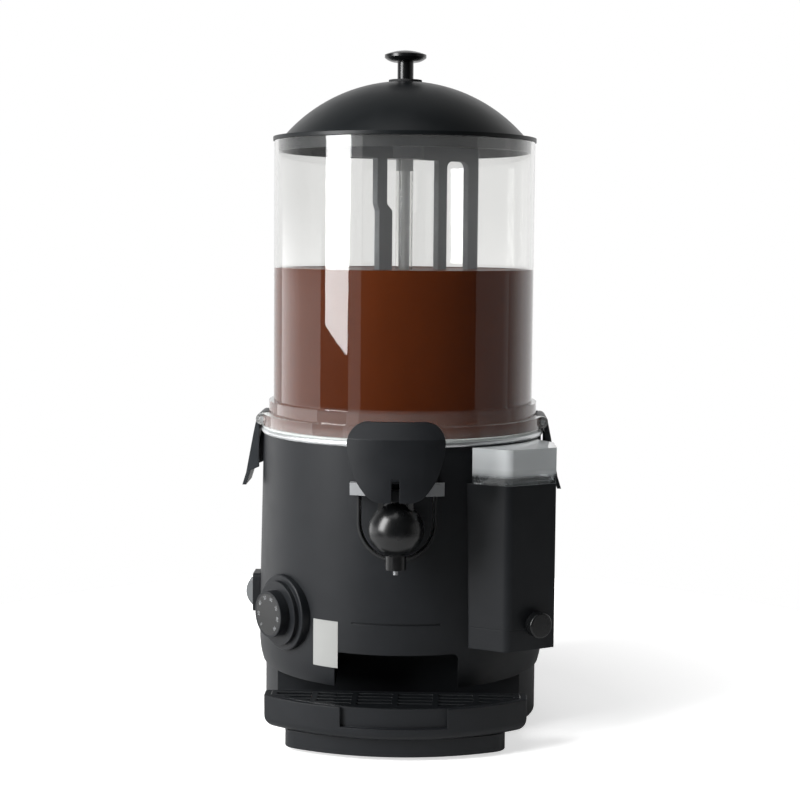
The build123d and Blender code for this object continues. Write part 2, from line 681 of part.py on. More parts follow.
# Motor bracket: bent steel bridge on the bottom plate
with BuildPart() as motor_bracket:
    leg_x = GEARBOX_W / 2 + LIFT + BRACKET_T
    foot_x = leg_x + BRACKET_FOOT
    left = [(-foot_x, PLATE_TOP), (-leg_x + BRACKET_T, PLATE_TOP), (-leg_x + BRACKET_T, GEARBOX_TOP)]
    left_up = [(-leg_x, BRACKET_TOP), (-leg_x, PLATE_TOP + BRACKET_T), (-foot_x, PLATE_TOP + BRACKET_T)]
    right = [(-x, z) for x, z in reversed(left)]
    right_up = [(-x, z) for x, z in reversed(left_up)]
    with BuildSketch(section(90)):
        with BuildLine():
            Polyline(*(left + right + right_up + left_up), close=True)
        make_face()
    extrude(amount=GEARBOX_W / 2, both=True)
    with BuildSketch(level(BRACKET_TOP)):
        Circle(GEARBOX_BOSS_R + LIFT)
        with GridLocations(GEARBOX_SCREWS, GEARBOX_SCREWS, 2, 2):
            Circle(SCREW_R + FIT)
    extrude(amount=-2 * BRACKET_T, mode=Mode.SUBTRACT)
motor_bracket.part.label = "motor_bracket"
export_step(motor_bracket.part, "parts/motor_bracket.step")

# Gearbox: hangs under the bracket, its boss passes up through it
with BuildPart() as gearbox:
    with BuildSketch(level(GEARBOX_TOP)):
        RectangleRounded(GEARBOX_W, GEARBOX_W, GEARBOX_CORNER)
    extrude(amount=-GEARBOX_H)
    with BuildSketch(level(GEARBOX_TOP)):
        Circle(GEARBOX_BOSS_R)
    extrude(amount=BRACKET_T + LIFT)
    with BuildSketch(level(BRACKET_TOP + LIFT)):
        Circle(ROD_R + RUN)
    extrude(amount=-GEARBOX_BORE_H - BRACKET_T - LIFT, mode=Mode.SUBTRACT)
    with BuildSketch(level(GEARBOX_TOP)):
        with GridLocations(GEARBOX_SCREWS, GEARBOX_SCREWS, 2, 2):
            Circle(SCREW_R + FIT)
    extrude(amount=-SCREW_L, mode=Mode.SUBTRACT)
gearbox.part.label = "gearbox"
export_step(gearbox.part, "parts/gearbox.step")

# Gearbox screws
with BuildPart() as gearbox_screws:
    with BuildSketch(level(BRACKET_TOP)):
        with GridLocations(GEARBOX_SCREWS, GEARBOX_SCREWS, 2, 2):
            Circle(SCREW_HEAD_R)
    extrude(amount=SCREW_HEAD_T)
    with BuildSketch(level(BRACKET_TOP)):
        with GridLocations(GEARBOX_SCREWS, GEARBOX_SCREWS, 2, 2):
            Circle(SCREW_R)
    extrude(amount=-SCREW_L)
gearbox_screws.part.label = "gearbox_screws"
export_step(gearbox_screws.part, "parts/gearbox_screws.step")

# Motor: round can under the gearbox
with BuildPart() as motor:
    with BuildSketch(level(GEARBOX_TOP - GEARBOX_H)):
        Circle(MOTOR_R)
    extrude(amount=-MOTOR_H)
    fillet(motor.edges().group_by(Axis.Z)[0], radius=BRACKET_T)
motor.part.label = "motor"
export_step(motor.part, "parts/motor.step")

# Terminal block on the bottom plate
with BuildPart() as terminal_block:
    with BuildSketch(level(PLATE_TOP)):
        with Locations((0, GEARBOX_W / 2 + TERMINAL_W)):
            Rectangle(TERMINAL_L, TERMINAL_W)
    extrude(amount=TERMINAL_H)
    with BuildSketch(level(PLATE_TOP + TERMINAL_H)):
        with Locations((0, GEARBOX_W / 2 + TERMINAL_W)):
            with GridLocations(TERMINAL_L / 3, TERMINAL_W / 2, 3, 2):
                Circle(SCREW_R)
    extrude(amount=-TERMINAL_H / 2, mode=Mode.SUBTRACT)
terminal_block.part.label = "terminal_block"
export_step(terminal_block.part, "parts/terminal_block.step")

# Cord gland at the back
with BuildPart() as cord_gland:
    gland_in = BODY_R - BODY_WALL - ROOM - GLAND_NUT_T
    gland_l = BODY_R + GLAND_OUT - gland_in
    with BuildSketch(facing(GLAND_AZIMUTH, GLAND_Z, BODY_R / 2)):
        Circle(GLAND_FLANGE_R)
    extrude(amount=BODY_R / 2 + GLAND_FLANGE_T)
    revolve(casing_core(0), axis=AXIS, mode=Mode.SUBTRACT)
    with BuildSketch(facing(GLAND_AZIMUTH, GLAND_Z, gland_in)):
        RegularPolygon(GLAND_FLANGE_R, 6)
    extrude(amount=GLAND_NUT_T)
    with BuildSketch(facing(GLAND_AZIMUTH, GLAND_Z, gland_in)):
        Circle(GLAND_R)
    extrude(amount=gland_l)
    with BuildSketch(facing(GLAND_AZIMUTH, GLAND_Z, gland_in)):
        Circle(CORD_R)
    extrude(amount=gland_l, mode=Mode.SUBTRACT)
cord_gland.part.label = "cord_gland"
export_step(cord_gland.part, "parts/cord_gland.step")

# Thermostat: body inside the casing, threaded neck through it
with BuildPart() as thermostat:
    neck_out = BODY_R + BEZEL_OUT
    body_r = BODY_R - BODY_WALL - BEZEL_RING_T
    with BuildSketch(facing(DIAL_AZIMUTH, DIAL_Z, body_r)):
        Rectangle(THERMOSTAT_W, THERMOSTAT_H)
    extrude(amount=-THERMOSTAT_DEEP)
    with BuildSketch(facing(DIAL_AZIMUTH, DIAL_Z, body_r)):
        Circle(THERMOSTAT_NECK_R)
    extrude(amount=neck_out - body_r)
    with BuildSketch(facing(DIAL_AZIMUTH, DIAL_Z, body_r - SPINDLE_IN)):
        Circle(SPINDLE_R + RUN)
    extrude(amount=FAR, mode=Mode.SUBTRACT)
thermostat.part.label = "thermostat"
export_step(thermostat.part, "parts/thermostat.step")

# Dial bezel: stepped ring whose back follows the casing
with BuildPart() as dial_bezel:
    with BuildSketch(facing(DIAL_AZIMUTH, DIAL_Z, BODY_R / 2)):
        Circle(BEZEL_R)
    extrude(amount=BODY_R / 2 + BEZEL_OUT)
    bezel_edges = dial_bezel.edges().filter_by(GeomType.CIRCLE).sort_by_distance((0, AXIS_Y, DIAL_Z))
    fillet(bezel_edges[-1], radius=BEZEL_OUT / 3)
    with BuildSketch(facing(DIAL_AZIMUTH, DIAL_Z, BODY_R + BEZEL_OUT)):
        Circle(BEZEL_RING_R)
    extrude(amount=BEZEL_RING_T)
    revolve(casing_core(0), axis=AXIS, mode=Mode.SUBTRACT)
    with BuildSketch(facing(DIAL_AZIMUTH, DIAL_Z, BODY_R / 2)):
        Circle(THERMOSTAT_NECK_R + FIT)
    extrude(amount=FAR, mode=Mode.SUBTRACT)
dial_bezel.part.label = "dial_bezel"
export_step(dial_bezel.part, "parts/dial_bezel.step")

# Dial: knob, its face plate and the thermostat's spindle turn together
DIAL_BACK = BODY_R + BEZEL_OUT + BEZEL_RING_T + LIFT
with BuildPart() as dial_knob:
    with BuildSketch(facing(DIAL_AZIMUTH, DIAL_Z, DIAL_BACK)):
        Circle(DIAL_R)
    extrude(amount=DIAL_T)
    with BuildSketch(facing(DIAL_AZIMUTH, DIAL_Z, DIAL_BACK + DIAL_T)):
        Circle(DIAL_FACE_R)
    extrude(amount=-DIAL_FACE_T, mode=Mode.SUBTRACT)
    with BuildSketch(facing(DIAL_AZIMUTH, DIAL_Z, DIAL_BACK)):
        Circle(SPINDLE_R + FIT)
    extrude(amount=DIAL_T / 2, mode=Mode.SUBTRACT)
dial_knob.part.label = "dial_knob"
export_step(dial_knob.part, "parts/dial_knob.step")

with BuildPart() as dial_face:
    with BuildSketch(facing(DIAL_AZIMUTH, DIAL_Z, DIAL_BACK + DIAL_T - DIAL_FACE_T)):
        Circle(DIAL_FACE_R - FIT)
    extrude(amount=DIAL_FACE_T)
dial_face.part.label = "dial_face"
export_step(dial_face.part, "parts/dial_face.step")

with BuildPart() as dial_spindle:
    spindle_low = BODY_R - BODY_WALL - BEZEL_RING_T - SPINDLE_IN + LIFT
    with BuildSketch(facing(DIAL_AZIMUTH, DIAL_Z, spindle_low)):
        Circle(SPINDLE_R)
    extrude(amount=DIAL_BACK + DIAL_T / 2 - spindle_low)
dial_spindle.part.label = "dial_spindle"
export_step(dial_spindle.part, "parts/dial_spindle.step")

# Power switch: body through the casing, bezel outside, rocker on a pin
with BuildPart() as switch_bezel:
    with BuildSketch(facing(SWITCH_AZIMUTH, SWITCH_Z, BODY_R / 2)):
        RectangleRounded(SWITCH_W, SWITCH_H, SWITCH_CORNER)
    extrude(amount=BODY_R / 2 + SWITCH_OUT)
    revolve(casing_core(0), axis=AXIS, mode=Mode.SUBTRACT)
    with BuildSketch(facing(SWITCH_AZIMUTH, SWITCH_Z)):
        Rectangle(2 * (ROCKER_HALF_W + LIFT), 2 * (ROCKER_HALF_H + ROCKER_ROOM))
    extrude(amount=FAR, mode=Mode.SUBTRACT)
    with BuildSketch(facing(SWITCH_AZIMUTH + 90, SWITCH_Z)):
        with Locations((-ROCKER_R, 0)):
            Circle(ROCKER_PIN_R + RUN)
    extrude(amount=ROCKER_HALF_W + ROCKER_PIN_OUT, both=True, mode=Mode.SUBTRACT)
switch_bezel.part.label = "switch_bezel"
export_step(switch_bezel.part, "parts/switch_bezel.step")

with BuildPart() as switch_body:
    with BuildSketch(facing(SWITCH_AZIMUTH, SWITCH_Z, BODY_R - BODY_WALL / 2)):
        Rectangle(SWITCH_BODY_W, SWITCH_BODY_H)
    extrude(amount=-SWITCH_BODY_DEEP)
switch_body.part.label = "switch_body"
export_step(switch_body.part, "parts/switch_body.step")

ROCKER_SPOT = facing(SWITCH_AZIMUTH, SWITCH_Z, ROCKER_R).origin
ROCKER_DOWN = Vector(0, 0, -sin(radians(ROCKER_REST)))
ROCKER_OUT = section(SWITCH_AZIMUTH).x_dir * cos(radians(ROCKER_REST)) + ROCKER_DOWN
ROCKER_PLANE = Plane(ROCKER_SPOT, x_dir=ROCKER_OUT, z_dir=section(SWITCH_AZIMUTH).z_dir)
with BuildPart() as rocker:
    edge, crown, half = ROCKER_BACK + ROCKER_EDGE, ROCKER_BACK + ROCKER_CROWN, ROCKER_HALF_H
    with BuildSketch(ROCKER_PLANE):
        with BuildLine():
            Polyline((edge, -half), (ROCKER_HEEL, -half), (ROCKER_HEEL, half), (edge, half))
            ThreePointArc((edge, half), (crown, 0), (edge, -half))
        make_face()
    extrude(amount=ROCKER_HALF_W, both=True)
    with BuildSketch(ROCKER_PLANE):
        Circle(ROCKER_PIN_R)
    extrude(amount=ROCKER_HALF_W + ROCKER_PIN_OUT - LIFT, both=True)
rocker.part.label = "rocker"
export_step(rocker.part, "parts/rocker.step")

# Drive rod: from the gearbox up through the bowl's riser, hexagonal at the top
ROD_Z = GEARBOX_TOP - GEARBOX_BORE_H + LIFT
ROD_TOP = HUB_Z + ROD_HEX_H
with BuildPart() as drive_rod:
    with BuildSketch(level(ROD_Z)):
        Circle(ROD_R)
    extrude(amount=HUB_Z - ROD_Z)
    with BuildSketch(level(HUB_Z)):
        RegularPolygon(ROD_HEX / 2, 6, major_radius=False, rotation=STIR_TURN)
    extrude(amount=ROD_HEX_H)
drive_rod.part.label = "drive_rod"
export_step(drive_rod.part, "parts/drive_rod.step")

# Rod coupling: clamp sleeve above the gearbox
with BuildPart() as rod_coupling:
    with BuildSketch(level(BRACKET_TOP + SCREW_HEAD_T)):
        Circle(COUPLING_R)
        Circle(ROD_R + FIT, mode=Mode.SUBTRACT)
    extrude(amount=COUPLING_H)
rod_coupling.part.label = "rod_coupling"
export_step(rod_coupling.part, "parts/rod_coupling.step")

# Bowl: clear moulding with riser, flange, collar, spout and latch lugs
NOTCH_U = LATCH_U - LATCH_BOSS_R - LIFT
LUG_Y = LATCH_HALF + ROOM
NECK_BORE = RISER_NECK_R - RISER_NECK_WALL
with BuildPart() as bowl:
    bore, inside = RISER_R - RISER_WALL, BOWL_R - BOWL_WALL
    cup = [(bore, BOWL_Z), (BOWL_R, BOWL_Z), (BOWL_R, FLANGE_Z), (FLANGE_R, FLANGE_Z), (FLANGE_R, COLLAR_Z)]
    collar = [(COLLAR_R, COLLAR_Z), (COLLAR_R, WALL_Z), (BOWL_R, WALL_Z)]
    wall = [(BOWL_R, BOWL_TOP), (inside, BOWL_TOP), (inside, FLOOR_Z)]
    step_in = RISER_STEP_Z - RISER_WALL
    riser = [(RISER_R, FLOOR_Z), (RISER_R, RISER_STEP_Z), (RISER_NECK_R, RISER_STEP_Z)]
    hole = [(RISER_NECK_R, RISER_TOP), (NECK_BORE, RISER_TOP), (NECK_BORE, step_in), (bore, step_in)]
    revolve(polygon(section(90), cup + collar + wall + riser + hole), axis=AXIS)
    for side in (-1, 1):
        with BuildSketch(section(side * 90)):
            with Locations((NOTCH_U + BOWL_R / 2, (FLANGE_Z + LATCH_Z + LATCH_BOSS_R + ROOM) / 2)):
                Rectangle(BOWL_R, LATCH_PIN_RISE + LATCH_BOSS_R + ROOM)
        extrude(amount=LUG_Y, both=True, mode=Mode.SUBTRACT)
        for end in (-1, 1):
            with BuildSketch(section(side * 90).offset(end * (LUG_Y + LUG_T / 2))):
                with Locations((LATCH_U, LATCH_Z)):
                    Circle(LUG_R)
                with Locations(((LATCH_U + BOWL_R) / 2 - BOWL_WALL / 2, LATCH_Z)):
                    Rectangle(LATCH_U - BOWL_R + BOWL_WALL, 2 * LUG_R)
            extrude(amount=LUG_T / 2, both=True)
        with BuildSketch(section(side * 90)):
            with Locations((LATCH_U, LATCH_Z)):
                Circle(PIN_R + FIT)
        extrude(amount=LUG_Y + LUG_T, both=True, mode=Mode.SUBTRACT)
    with BuildSketch(facing(0, TAP_Z, inside)):
        Circle(SPOUT_R)
    extrude(amount=BOWL_WALL + SPOUT_L)
    with BuildSketch(facing(0, TAP_Z, inside - BOWL_WALL)):
        Circle(SPOUT_BORE)
    extrude(amount=FAR, mode=Mode.SUBTRACT)
bowl.part.label = "bowl"
export_step(bowl.part, "parts/bowl.step")

# Latch pins: one through each pair of lugs
with BuildPart() as latch_pins:
    for side in (-1, 1):
        with BuildSketch(section(side * 90)):
            with Locations((LATCH_U, LATCH_Z)):
                Circle(PIN_R)
        extrude(amount=LUG_Y + LUG_T, both=True)
latch_pins.part.label = "latch_pins"
export_step(latch_pins.part, "parts/latch_pins.step")

# Latches: levers that hang over the rim on both sides
with BuildPart() as latch_left:
    inner_u = RIM_R + ROOM
    knee = (LATCH_U + LATCH_TOP_OUT + LATCH_PLATE_T, BODY_TOP - RIM_H / 2)
    low = (LATCH_U + LATCH_TIP_OUT - LATCH_PLATE_T, LATCH_Z - LATCH_CHEEK_DROP)
    tip = (LATCH_U + LATCH_TIP_OUT, LATCH_Z - LATCH_DROP)
    top = (LATCH_U + LATCH_BOSS_R, LATCH_Z)
    back = [(u - LATCH_PLATE_T, z) for u, z in (tip, low, knee)]
    with BuildSketch(section(-90)) as web:
        with BuildLine():
            boss = [(LATCH_U, LATCH_Z - LATCH_BOSS_R), (LATCH_U, LATCH_Z)]
            Polyline(top, knee, low, tip, *back, *boss, close=True)
        make_face()
        with Locations((LATCH_U, LATCH_Z)):
            Circle(LATCH_BOSS_R)
    extrude(amount=LATCH_HALF, both=True)
    for end in (-1, 1):
        with BuildSketch(section(-90).offset(end * (LATCH_HALF - LATCH_CHEEK_T / 2))):
            with BuildLine():
                inner_side = [(inner_u, low[1] + RIM_H), (inner_u, BODY_TOP + RIM_H), (LATCH_U, LATCH_Z)]
                Polyline(top, knee, low, *inner_side, close=True)
            make_face()
        extrude(amount=LATCH_CHEEK_T / 2, both=True)
    with BuildSketch(section(-90)):
        with BuildLine():
            boss_low = LATCH_Z - LATCH_BOSS_R
            Polyline((0, 0), (inner_u, 0), (inner_u, boss_low), (0, boss_low), close=True)
        make_face()
    extrude(amount=LATCH_HALF, both=True, mode=Mode.SUBTRACT)
    with BuildSketch(section(-90)):
        with Locations((LATCH_U, LATCH_Z)):
            Circle(PIN_R + RUN)
    extrude(amount=LATCH_HALF, both=True, mode=Mode.SUBTRACT)
latch_left.part.label = "latch_left"
export_step(latch_left.part, "parts/latch_left.step")

with BuildPart() as latch_right:
    mirror(latch_left.part, about=Plane.YZ)
latch_right.part.label = "latch_right"
export_step(latch_right.part, "parts/latch_right.step")

# Bowl gasket: soft ring between the bowl's flange and the bright rim
with BuildPart() as bowl_gasket:
    revolve(ring(TANK_R + LIFT, FLANGE_R - LIFT, RIM_Z, FLANGE_Z), axis=AXIS)
bowl_gasket.part.label = "bowl_gasket"
export_step(bowl_gasket.part, "parts/bowl_gasket.step")

# Riser bush: wiper around the drive rod in the riser's mouth
with BuildPart() as riser_bush:
    revolve(ring(ROD_R + LIFT, NECK_BORE, RISER_TOP - BUSH_H, RISER_TOP), axis=AXIS)
riser_bush.part.label = "riser_bush"
export_step(riser_bush.part, "parts/riser_bush.step")

# Chocolate: outer ring of the filling, clear of the stirrer
with BuildPart() as chocolate:
    revolve(ring(FILL_R - CHOCOLATE_RING, FILL_R, FLOOR_Z + LIFT, FLOOR_Z + CHOCOLATE_LEVEL), axis=AXIS)
chocolate.part.label = "chocolate"
export_step(chocolate.part, "parts/chocolate.step")

# Lid: dome with a rim on the bowl's edge and a skirt inside it
DOME_BALL = (DOME_R**2 + DOME_RISE**2) / (2 * DOME_RISE)
DOME_CENTRE = DOME_TOP - DOME_BALL
with BuildPart() as lid:
    skirt_r = BOWL_R - BOWL_WALL - ROOM + FIT
    hollow_ball = DOME_BALL - LID_WALL
    hollow_r = skirt_r - LID_WALL
    hollow_end = (DOME_R - LID_WALL, DOME_CENTRE + sqrt(hollow_ball**2 - (DOME_R - LID_WALL) ** 2))
    mid_x, mid_z = sin(radians(DOME_MID)), cos(radians(DOME_MID))
    rim_r, skirt_z = BOWL_R + LID_OVER, LID_Z - LID_SKIRT_H
    dome_mid = (DOME_BALL * mid_x, DOME_CENTRE + DOME_BALL * mid_z)
    hollow_mid = (hollow_ball * mid_x, DOME_CENTRE + hollow_ball * mid_z)
    with BuildSketch(section(90)):
        with BuildLine():
            ThreePointArc((0, DOME_TOP), dome_mid, (DOME_R, DOME_Z))
            Polyline((DOME_R, DOME_Z), (rim_r, DOME_Z), (rim_r, LID_Z), (skirt_r, LID_Z), (skirt_r, skirt_z))
            Polyline((skirt_r, skirt_z), (hollow_r, skirt_z), (hollow_r, LID_Z), hollow_end)
            ThreePointArc(hollow_end, hollow_mid, (0, DOME_TOP - LID_WALL))
            Line((0, DOME_TOP - LID_WALL), (0, DOME_TOP))
        make_face()
    revolve(axis=AXIS)
    with BuildSketch(level(DOME_TOP)):
        Circle(KNOB_SCREW_R + FIT)
    extrude(amount=-2 * LID_WALL, mode=Mode.SUBTRACT)
lid.part.label = "lid"
export_step(lid.part, "parts/lid.step")

# Knob washer: seats on the dome
KNOB_Z = DOME_TOP + WASHER_T
with BuildPart() as knob_washer:
    with BuildSketch(level(KNOB_Z)):
        Circle(WASHER_R)
        Circle(KNOB_SCREW_R + FIT, mode=Mode.SUBTRACT)
    extrude(amount=-2 * WASHER_T)
    with Locations((0, AXIS_Y, DOME_CENTRE)):
        Sphere(DOME_BALL, mode=Mode.SUBTRACT)
knob_washer.part.label = "knob_washer"
export_step(knob_washer.part, "parts/knob_washer.step")

# Lid knob: stem and lens-shaped head, turned in one piece
with BuildPart() as lid_knob:
    head_z = KNOB_Z + KNOB_STEM_H
    edge_low, edge_high = (KNOB_R, head_z + KNOB_T * 3 / 8), (KNOB_R, head_z + KNOB_T * 5 / 8)
    cap_h = KNOB_T * 3 / 8
    cap_ball = (KNOB_R**2 + cap_h**2) / (2 * cap_h)
    cap_turn = asin(KNOB_R / cap_ball) / 2
    cap_mid = (cap_ball * sin(cap_turn), head_z + KNOB_T - cap_ball + cap_ball * cos(cap_turn))
    with BuildSketch(section(90)):
        with BuildLine():
            Polyline((0, KNOB_Z), (KNOB_STEM_R, KNOB_Z), (KNOB_STEM_R, head_z))
            ThreePointArc((KNOB_STEM_R, head_z), (KNOB_DISH_R, head_z + KNOB_DISH_H), edge_low)
            Line(edge_low, edge_high)
            ThreePointArc(edge_high, cap_mid, (0, head_z + KNOB_T))
            Line((0, head_z + KNOB_T), (0, KNOB_Z))
        make_face()
    revolve(axis=AXIS)
    with BuildSketch(level(KNOB_Z)):
        Circle(KNOB_SCREW_R + FIT)
    extrude(amount=KNOB_STEM_H - LID_WALL, mode=Mode.SUBTRACT)
lid_knob.part.label = "lid_knob"
export_step(lid_knob.part, "parts/lid_knob.step")

# Knob screw: from inside the dome up into the knob
with BuildPart() as knob_screw:
    screw_z = DOME_TOP - LID_WALL - LIFT / 3
    with BuildSketch(level(screw_z)):
        Circle(2 * KNOB_SCREW_R)
    extrude(amount=-KNOB_SCREW_R)
    with BuildSketch(level(screw_z)):
        Circle(KNOB_SCREW_R)
    extrude(amount=WASHER_T + KNOB_STEM_H - LID_WALL)
knob_screw.part.label = "knob_screw"
export_step(knob_screw.part, "parts/knob_screw.step")

# Stirrer hub: cap with a hexagonal socket over the rod
STIR_PLANE = section(90 + STIR_TURN)
with BuildPart() as stirrer_hub:
    with BuildSketch(level(HUB_Z)):
        Circle(HUB_R)
    extrude(amount=HUB_H)
    fillet(stirrer_hub.edges().group_by(Axis.Z)[-1], radius=BLADE_CLEAR)
    with BuildSketch(level(HUB_Z)):
        RegularPolygon(ROD_HEX / 2 + FIT * 5, 6, major_radius=False, rotation=STIR_TURN)
    extrude(amount=ROD_HEX_H + LIFT, mode=Mode.SUBTRACT)
stirrer_hub.part.label = "stirrer_hub"
export_step(stirrer_hub.part, "parts/stirrer_hub.step")

# Stirrer frame: cross bar with four hanging bars
CROSSBAR_Z = HUB_Z + HUB_H - CROSSBAR_H
BLADE_Z = FLOOR_Z + BLADE_CLEAR
BLADE_TOP = BLADE_Z + BLADE_H
with BuildPart() as stirrer_frame:
    left_u, left_w = BARS["outer_left"]
    right_u, right_w = BARS["outer_right"]
    with BuildSketch(STIR_PLANE) as frame_face:
        start, end = left_u - left_w / 2, right_u + right_w / 2
        with Locations(((start + end) / 2, CROSSBAR_Z + CROSSBAR_H / 2)):
            Rectangle(end - start, CROSSBAR_H)
        for name in ("inner_right", "outer_right", "outer_left"):
            with Locations((BARS[name][0], (BLADE_TOP + CROSSBAR_Z + CROSSBAR_H) / 2)):
                Rectangle(BARS[name][1], CROSSBAR_Z + CROSSBAR_H - BLADE_TOP)
        bar_u, bar_w = BARS["inner_left"]
        with Locations((bar_u, (BLADE_TOP + JOG_Z - JOG_H) / 2)):
            Rectangle(bar_w, JOG_Z - JOG_H - BLADE_TOP)
        with BuildLine():
            Polyline((bar_u - bar_w / 2, JOG_Z - JOG_H), (bar_u - bar_w / 2 - JOG_OUT, JOG_Z),
                     (bar_u - bar_w / 2 - JOG_OUT, CROSSBAR_Z + CROSSBAR_H),
                     (bar_u + bar_w / 2 - JOG_IN, CROSSBAR_Z + CROSSBAR_H),
                     (bar_u + bar_w / 2 - JOG_IN, JOG_Z), (bar_u + bar_w / 2, JOG_Z - JOG_H), close=True)
        make_face()
        inner = [v for v in frame_face.vertices() if abs(v.Y - CROSSBAR_Z) < FIT]
        arch = [v for v in inner if BARS["inner_right"][0] < v.X < right_u]
        fillet(arch, radius=ARCH_R)
    extrude(amount=BAR_T / 2, both=True)
    with BuildSketch(level(CROSSBAR_Z)):
        Circle(HUB_R + BLADE_CLEAR)
    extrude(amount=CROSSBAR_H)
    with BuildSketch(level(CROSSBAR_Z)):
        Circle(HUB_R + FIT)
    extrude(amount=CROSSBAR_H, mode=Mode.SUBTRACT)
stirrer_frame.part.label = "stirrer_frame"
export_step(stirrer_frame.part, "parts/stirrer_frame.step")

# Stirrer blades: two scrapers over the bowl's floor
with BuildPart() as stirrer_blades:
    inner_ends = [u - u / abs(u) * w / 2 for u, w in (BARS["inner_left"], BARS["inner_right"])]
    for reach_in, reach_out in zip(inner_ends, (-BLADE_REACH, BLADE_REACH)):
        with BuildSketch(STIR_PLANE):
            with Locations(((reach_in + reach_out) / 2, BLADE_Z + BLADE_H / 2)):
                Rectangle(abs(reach_out - reach_in), BLADE_H)
        extrude(amount=CROSSBAR_T / 2, both=True)
stirrer_blades.part.label = "stirrer_blades"
export_step(stirrer_blades.part, "parts/stirrer_blades.step")

# Tap faceplate: fills the casing's slot and lifts out with the bowl
with BuildPart() as tap_faceplate:
    plate_in = [(BODY_R - BODY_WALL, TAPER_Z), (BODY_TOP_R - BODY_WALL, BODY_TOP - LIFT)]
    plate_out = [(casing_r(BODY_TOP - LIFT), BODY_TOP - LIFT), (BODY_R, TAPER_Z)]
    revolve(polygon(section(90), plate_in + plate_out), axis=AXIS)
    extrude(slot_outline(SLOT_HALF - FACE_GAP, TAP_Z + FACE_GAP), amount=FAR, mode=Mode.INTERSECT)
    with BuildSketch(facing(0, TAP_Z)):
        Circle(SPOUT_R + FIT)
    extrude(amount=FAR, mode=Mode.SUBTRACT)
tap_faceplate.part.label = "tap_faceplate"
export_step(tap_faceplate.part, "parts/tap_faceplate.step")

# Tap body: neck, collar, ball with the valve chamber, ears for the lever's pin
TAP_Y = AXIS_Y - TAP_R
with BuildPart() as tap_body:
    with BuildSketch(facing(0, TAP_Z, BODY_R / 2)):
        Circle(NECK_COLLAR_R)
    extrude(amount=BODY_R / 2 + NECK_COLLAR_T)
    revolve(casing_core(0), axis=AXIS, mode=Mode.SUBTRACT)
    with BuildSketch(facing(0, TAP_Z, BOWL_R + SPOUT_L)):
        Circle(SPOUT_R)
    extrude(amount=TAP_R - BOWL_R - SPOUT_L)
    with Locations((0, TAP_Y, TAP_Z)):
        Sphere(TAP_BALL_R)
    for side in (-1, 1):
        with BuildSketch(section(0).offset(side * (LEVER_HUB_HALF + LIFT + EAR_T / 2))):
            with BuildLine():
                ear_top, ear_low = (PIVOT_R, PIVOT_Z + EAR_R), (PIVOT_R, PIVOT_Z - EAR_R)
                root = [(TAP_R + EAR_R, TAP_Z), (TAP_R - EAR_R, TAP_Z)]
                ThreePointArc(ear_top, (PIVOT_R + EAR_R, PIVOT_Z), ear_low)
                Polyline(ear_low, *root, (PIVOT_R - EAR_R, PIVOT_Z - EAR_T), ear_top)
            make_face()
            with Locations((PIVOT_R, PIVOT_Z)):
                Circle(PIN_R + FIT, mode=Mode.SUBTRACT)
        extrude(amount=EAR_T / 2, both=True)
    with BuildSketch(Plane(origin=(0, TAP_Y, BALL_Z))):
        Rectangle(4 * TAP_BALL_R, 4 * TAP_BALL_R)
    extrude(amount=-TAP_BALL_R, mode=Mode.SUBTRACT)
    with BuildSketch(facing(0, TAP_Z, BOWL_R)):
        Circle(TAP_BORE)
    extrude(amount=TAP_R - BOWL_R, mode=Mode.SUBTRACT)
    with BuildSketch(Plane(origin=(0, TAP_Y, SEAT_Z))):
        Circle(TAP_BORE)
    extrude(amount=CHAMBER_TOP - SEAT_Z, mode=Mode.SUBTRACT)
    with BuildSketch(Plane(origin=(0, TAP_Y, CHAMBER_TOP))):
        Circle(STEM_R + RUN)
    extrude(amount=TAP_BALL_R, mode=Mode.SUBTRACT)
    with BuildSketch(Plane(origin=(0, TAP_Y, BALL_Z))):
        Circle(NOZZLE_THREAD_R + FIT)
    extrude(amount=NOZZLE_THREAD_H, mode=Mode.SUBTRACT)
tap_body.part.label = "tap_body"
export_step(tap_body.part, "parts/tap_body.step")

# Tap nozzle: screwed into the ball's underside, its top is the valve seat
with BuildPart() as tap_nozzle:
    with BuildSketch(Plane(origin=(0, TAP_Y, BALL_Z - NOZZLE_L))):
        Circle(NOZZLE_R)
    extrude(amount=NOZZLE_L)
    with BuildSketch(Plane(origin=(0, TAP_Y, BALL_Z))):
        Circle(NOZZLE_THREAD_R)
    extrude(amount=NOZZLE_THREAD_H)
    with BuildSketch(Plane(origin=(0, TAP_Y, BALL_Z - NOZZLE_L))):
        Circle(NOZZLE_BORE)
    extrude(amount=NOZZLE_L + NOZZLE_THREAD_H, mode=Mode.SUBTRACT)
tap_nozzle.part.label = "tap_nozzle"
export_step(tap_nozzle.part, "parts/tap_nozzle.step")

# Valve piston: head under which the lever's prongs lift, stem, and disc with a socket for the needle
with BuildPart() as valve_piston:
    with BuildSketch(Plane(origin=(0, TAP_Y, VALVE_Z))):
        Circle(VALVE_R)
    extrude(amount=VALVE_T)
    with BuildSketch(Plane(origin=(0, TAP_Y, VALVE_Z))):
        Circle(STEM_R)
    extrude(amount=HEAD_Z - VALVE_Z)
    with BuildSketch(Plane(origin=(0, TAP_Y, HEAD_Z))):
        Circle(STEM_HEAD_R)
    extrude(amount=STEM_HEAD_T)
    with BuildSketch(Plane(origin=(0, TAP_Y, VALVE_Z))):
        Circle(NEEDLE_R + FIT)
    extrude(amount=NEEDLE_IN, mode=Mode.SUBTRACT)
valve_piston.part.label = "valve_piston"
export_step(valve_piston.part, "parts/valve_piston.step")

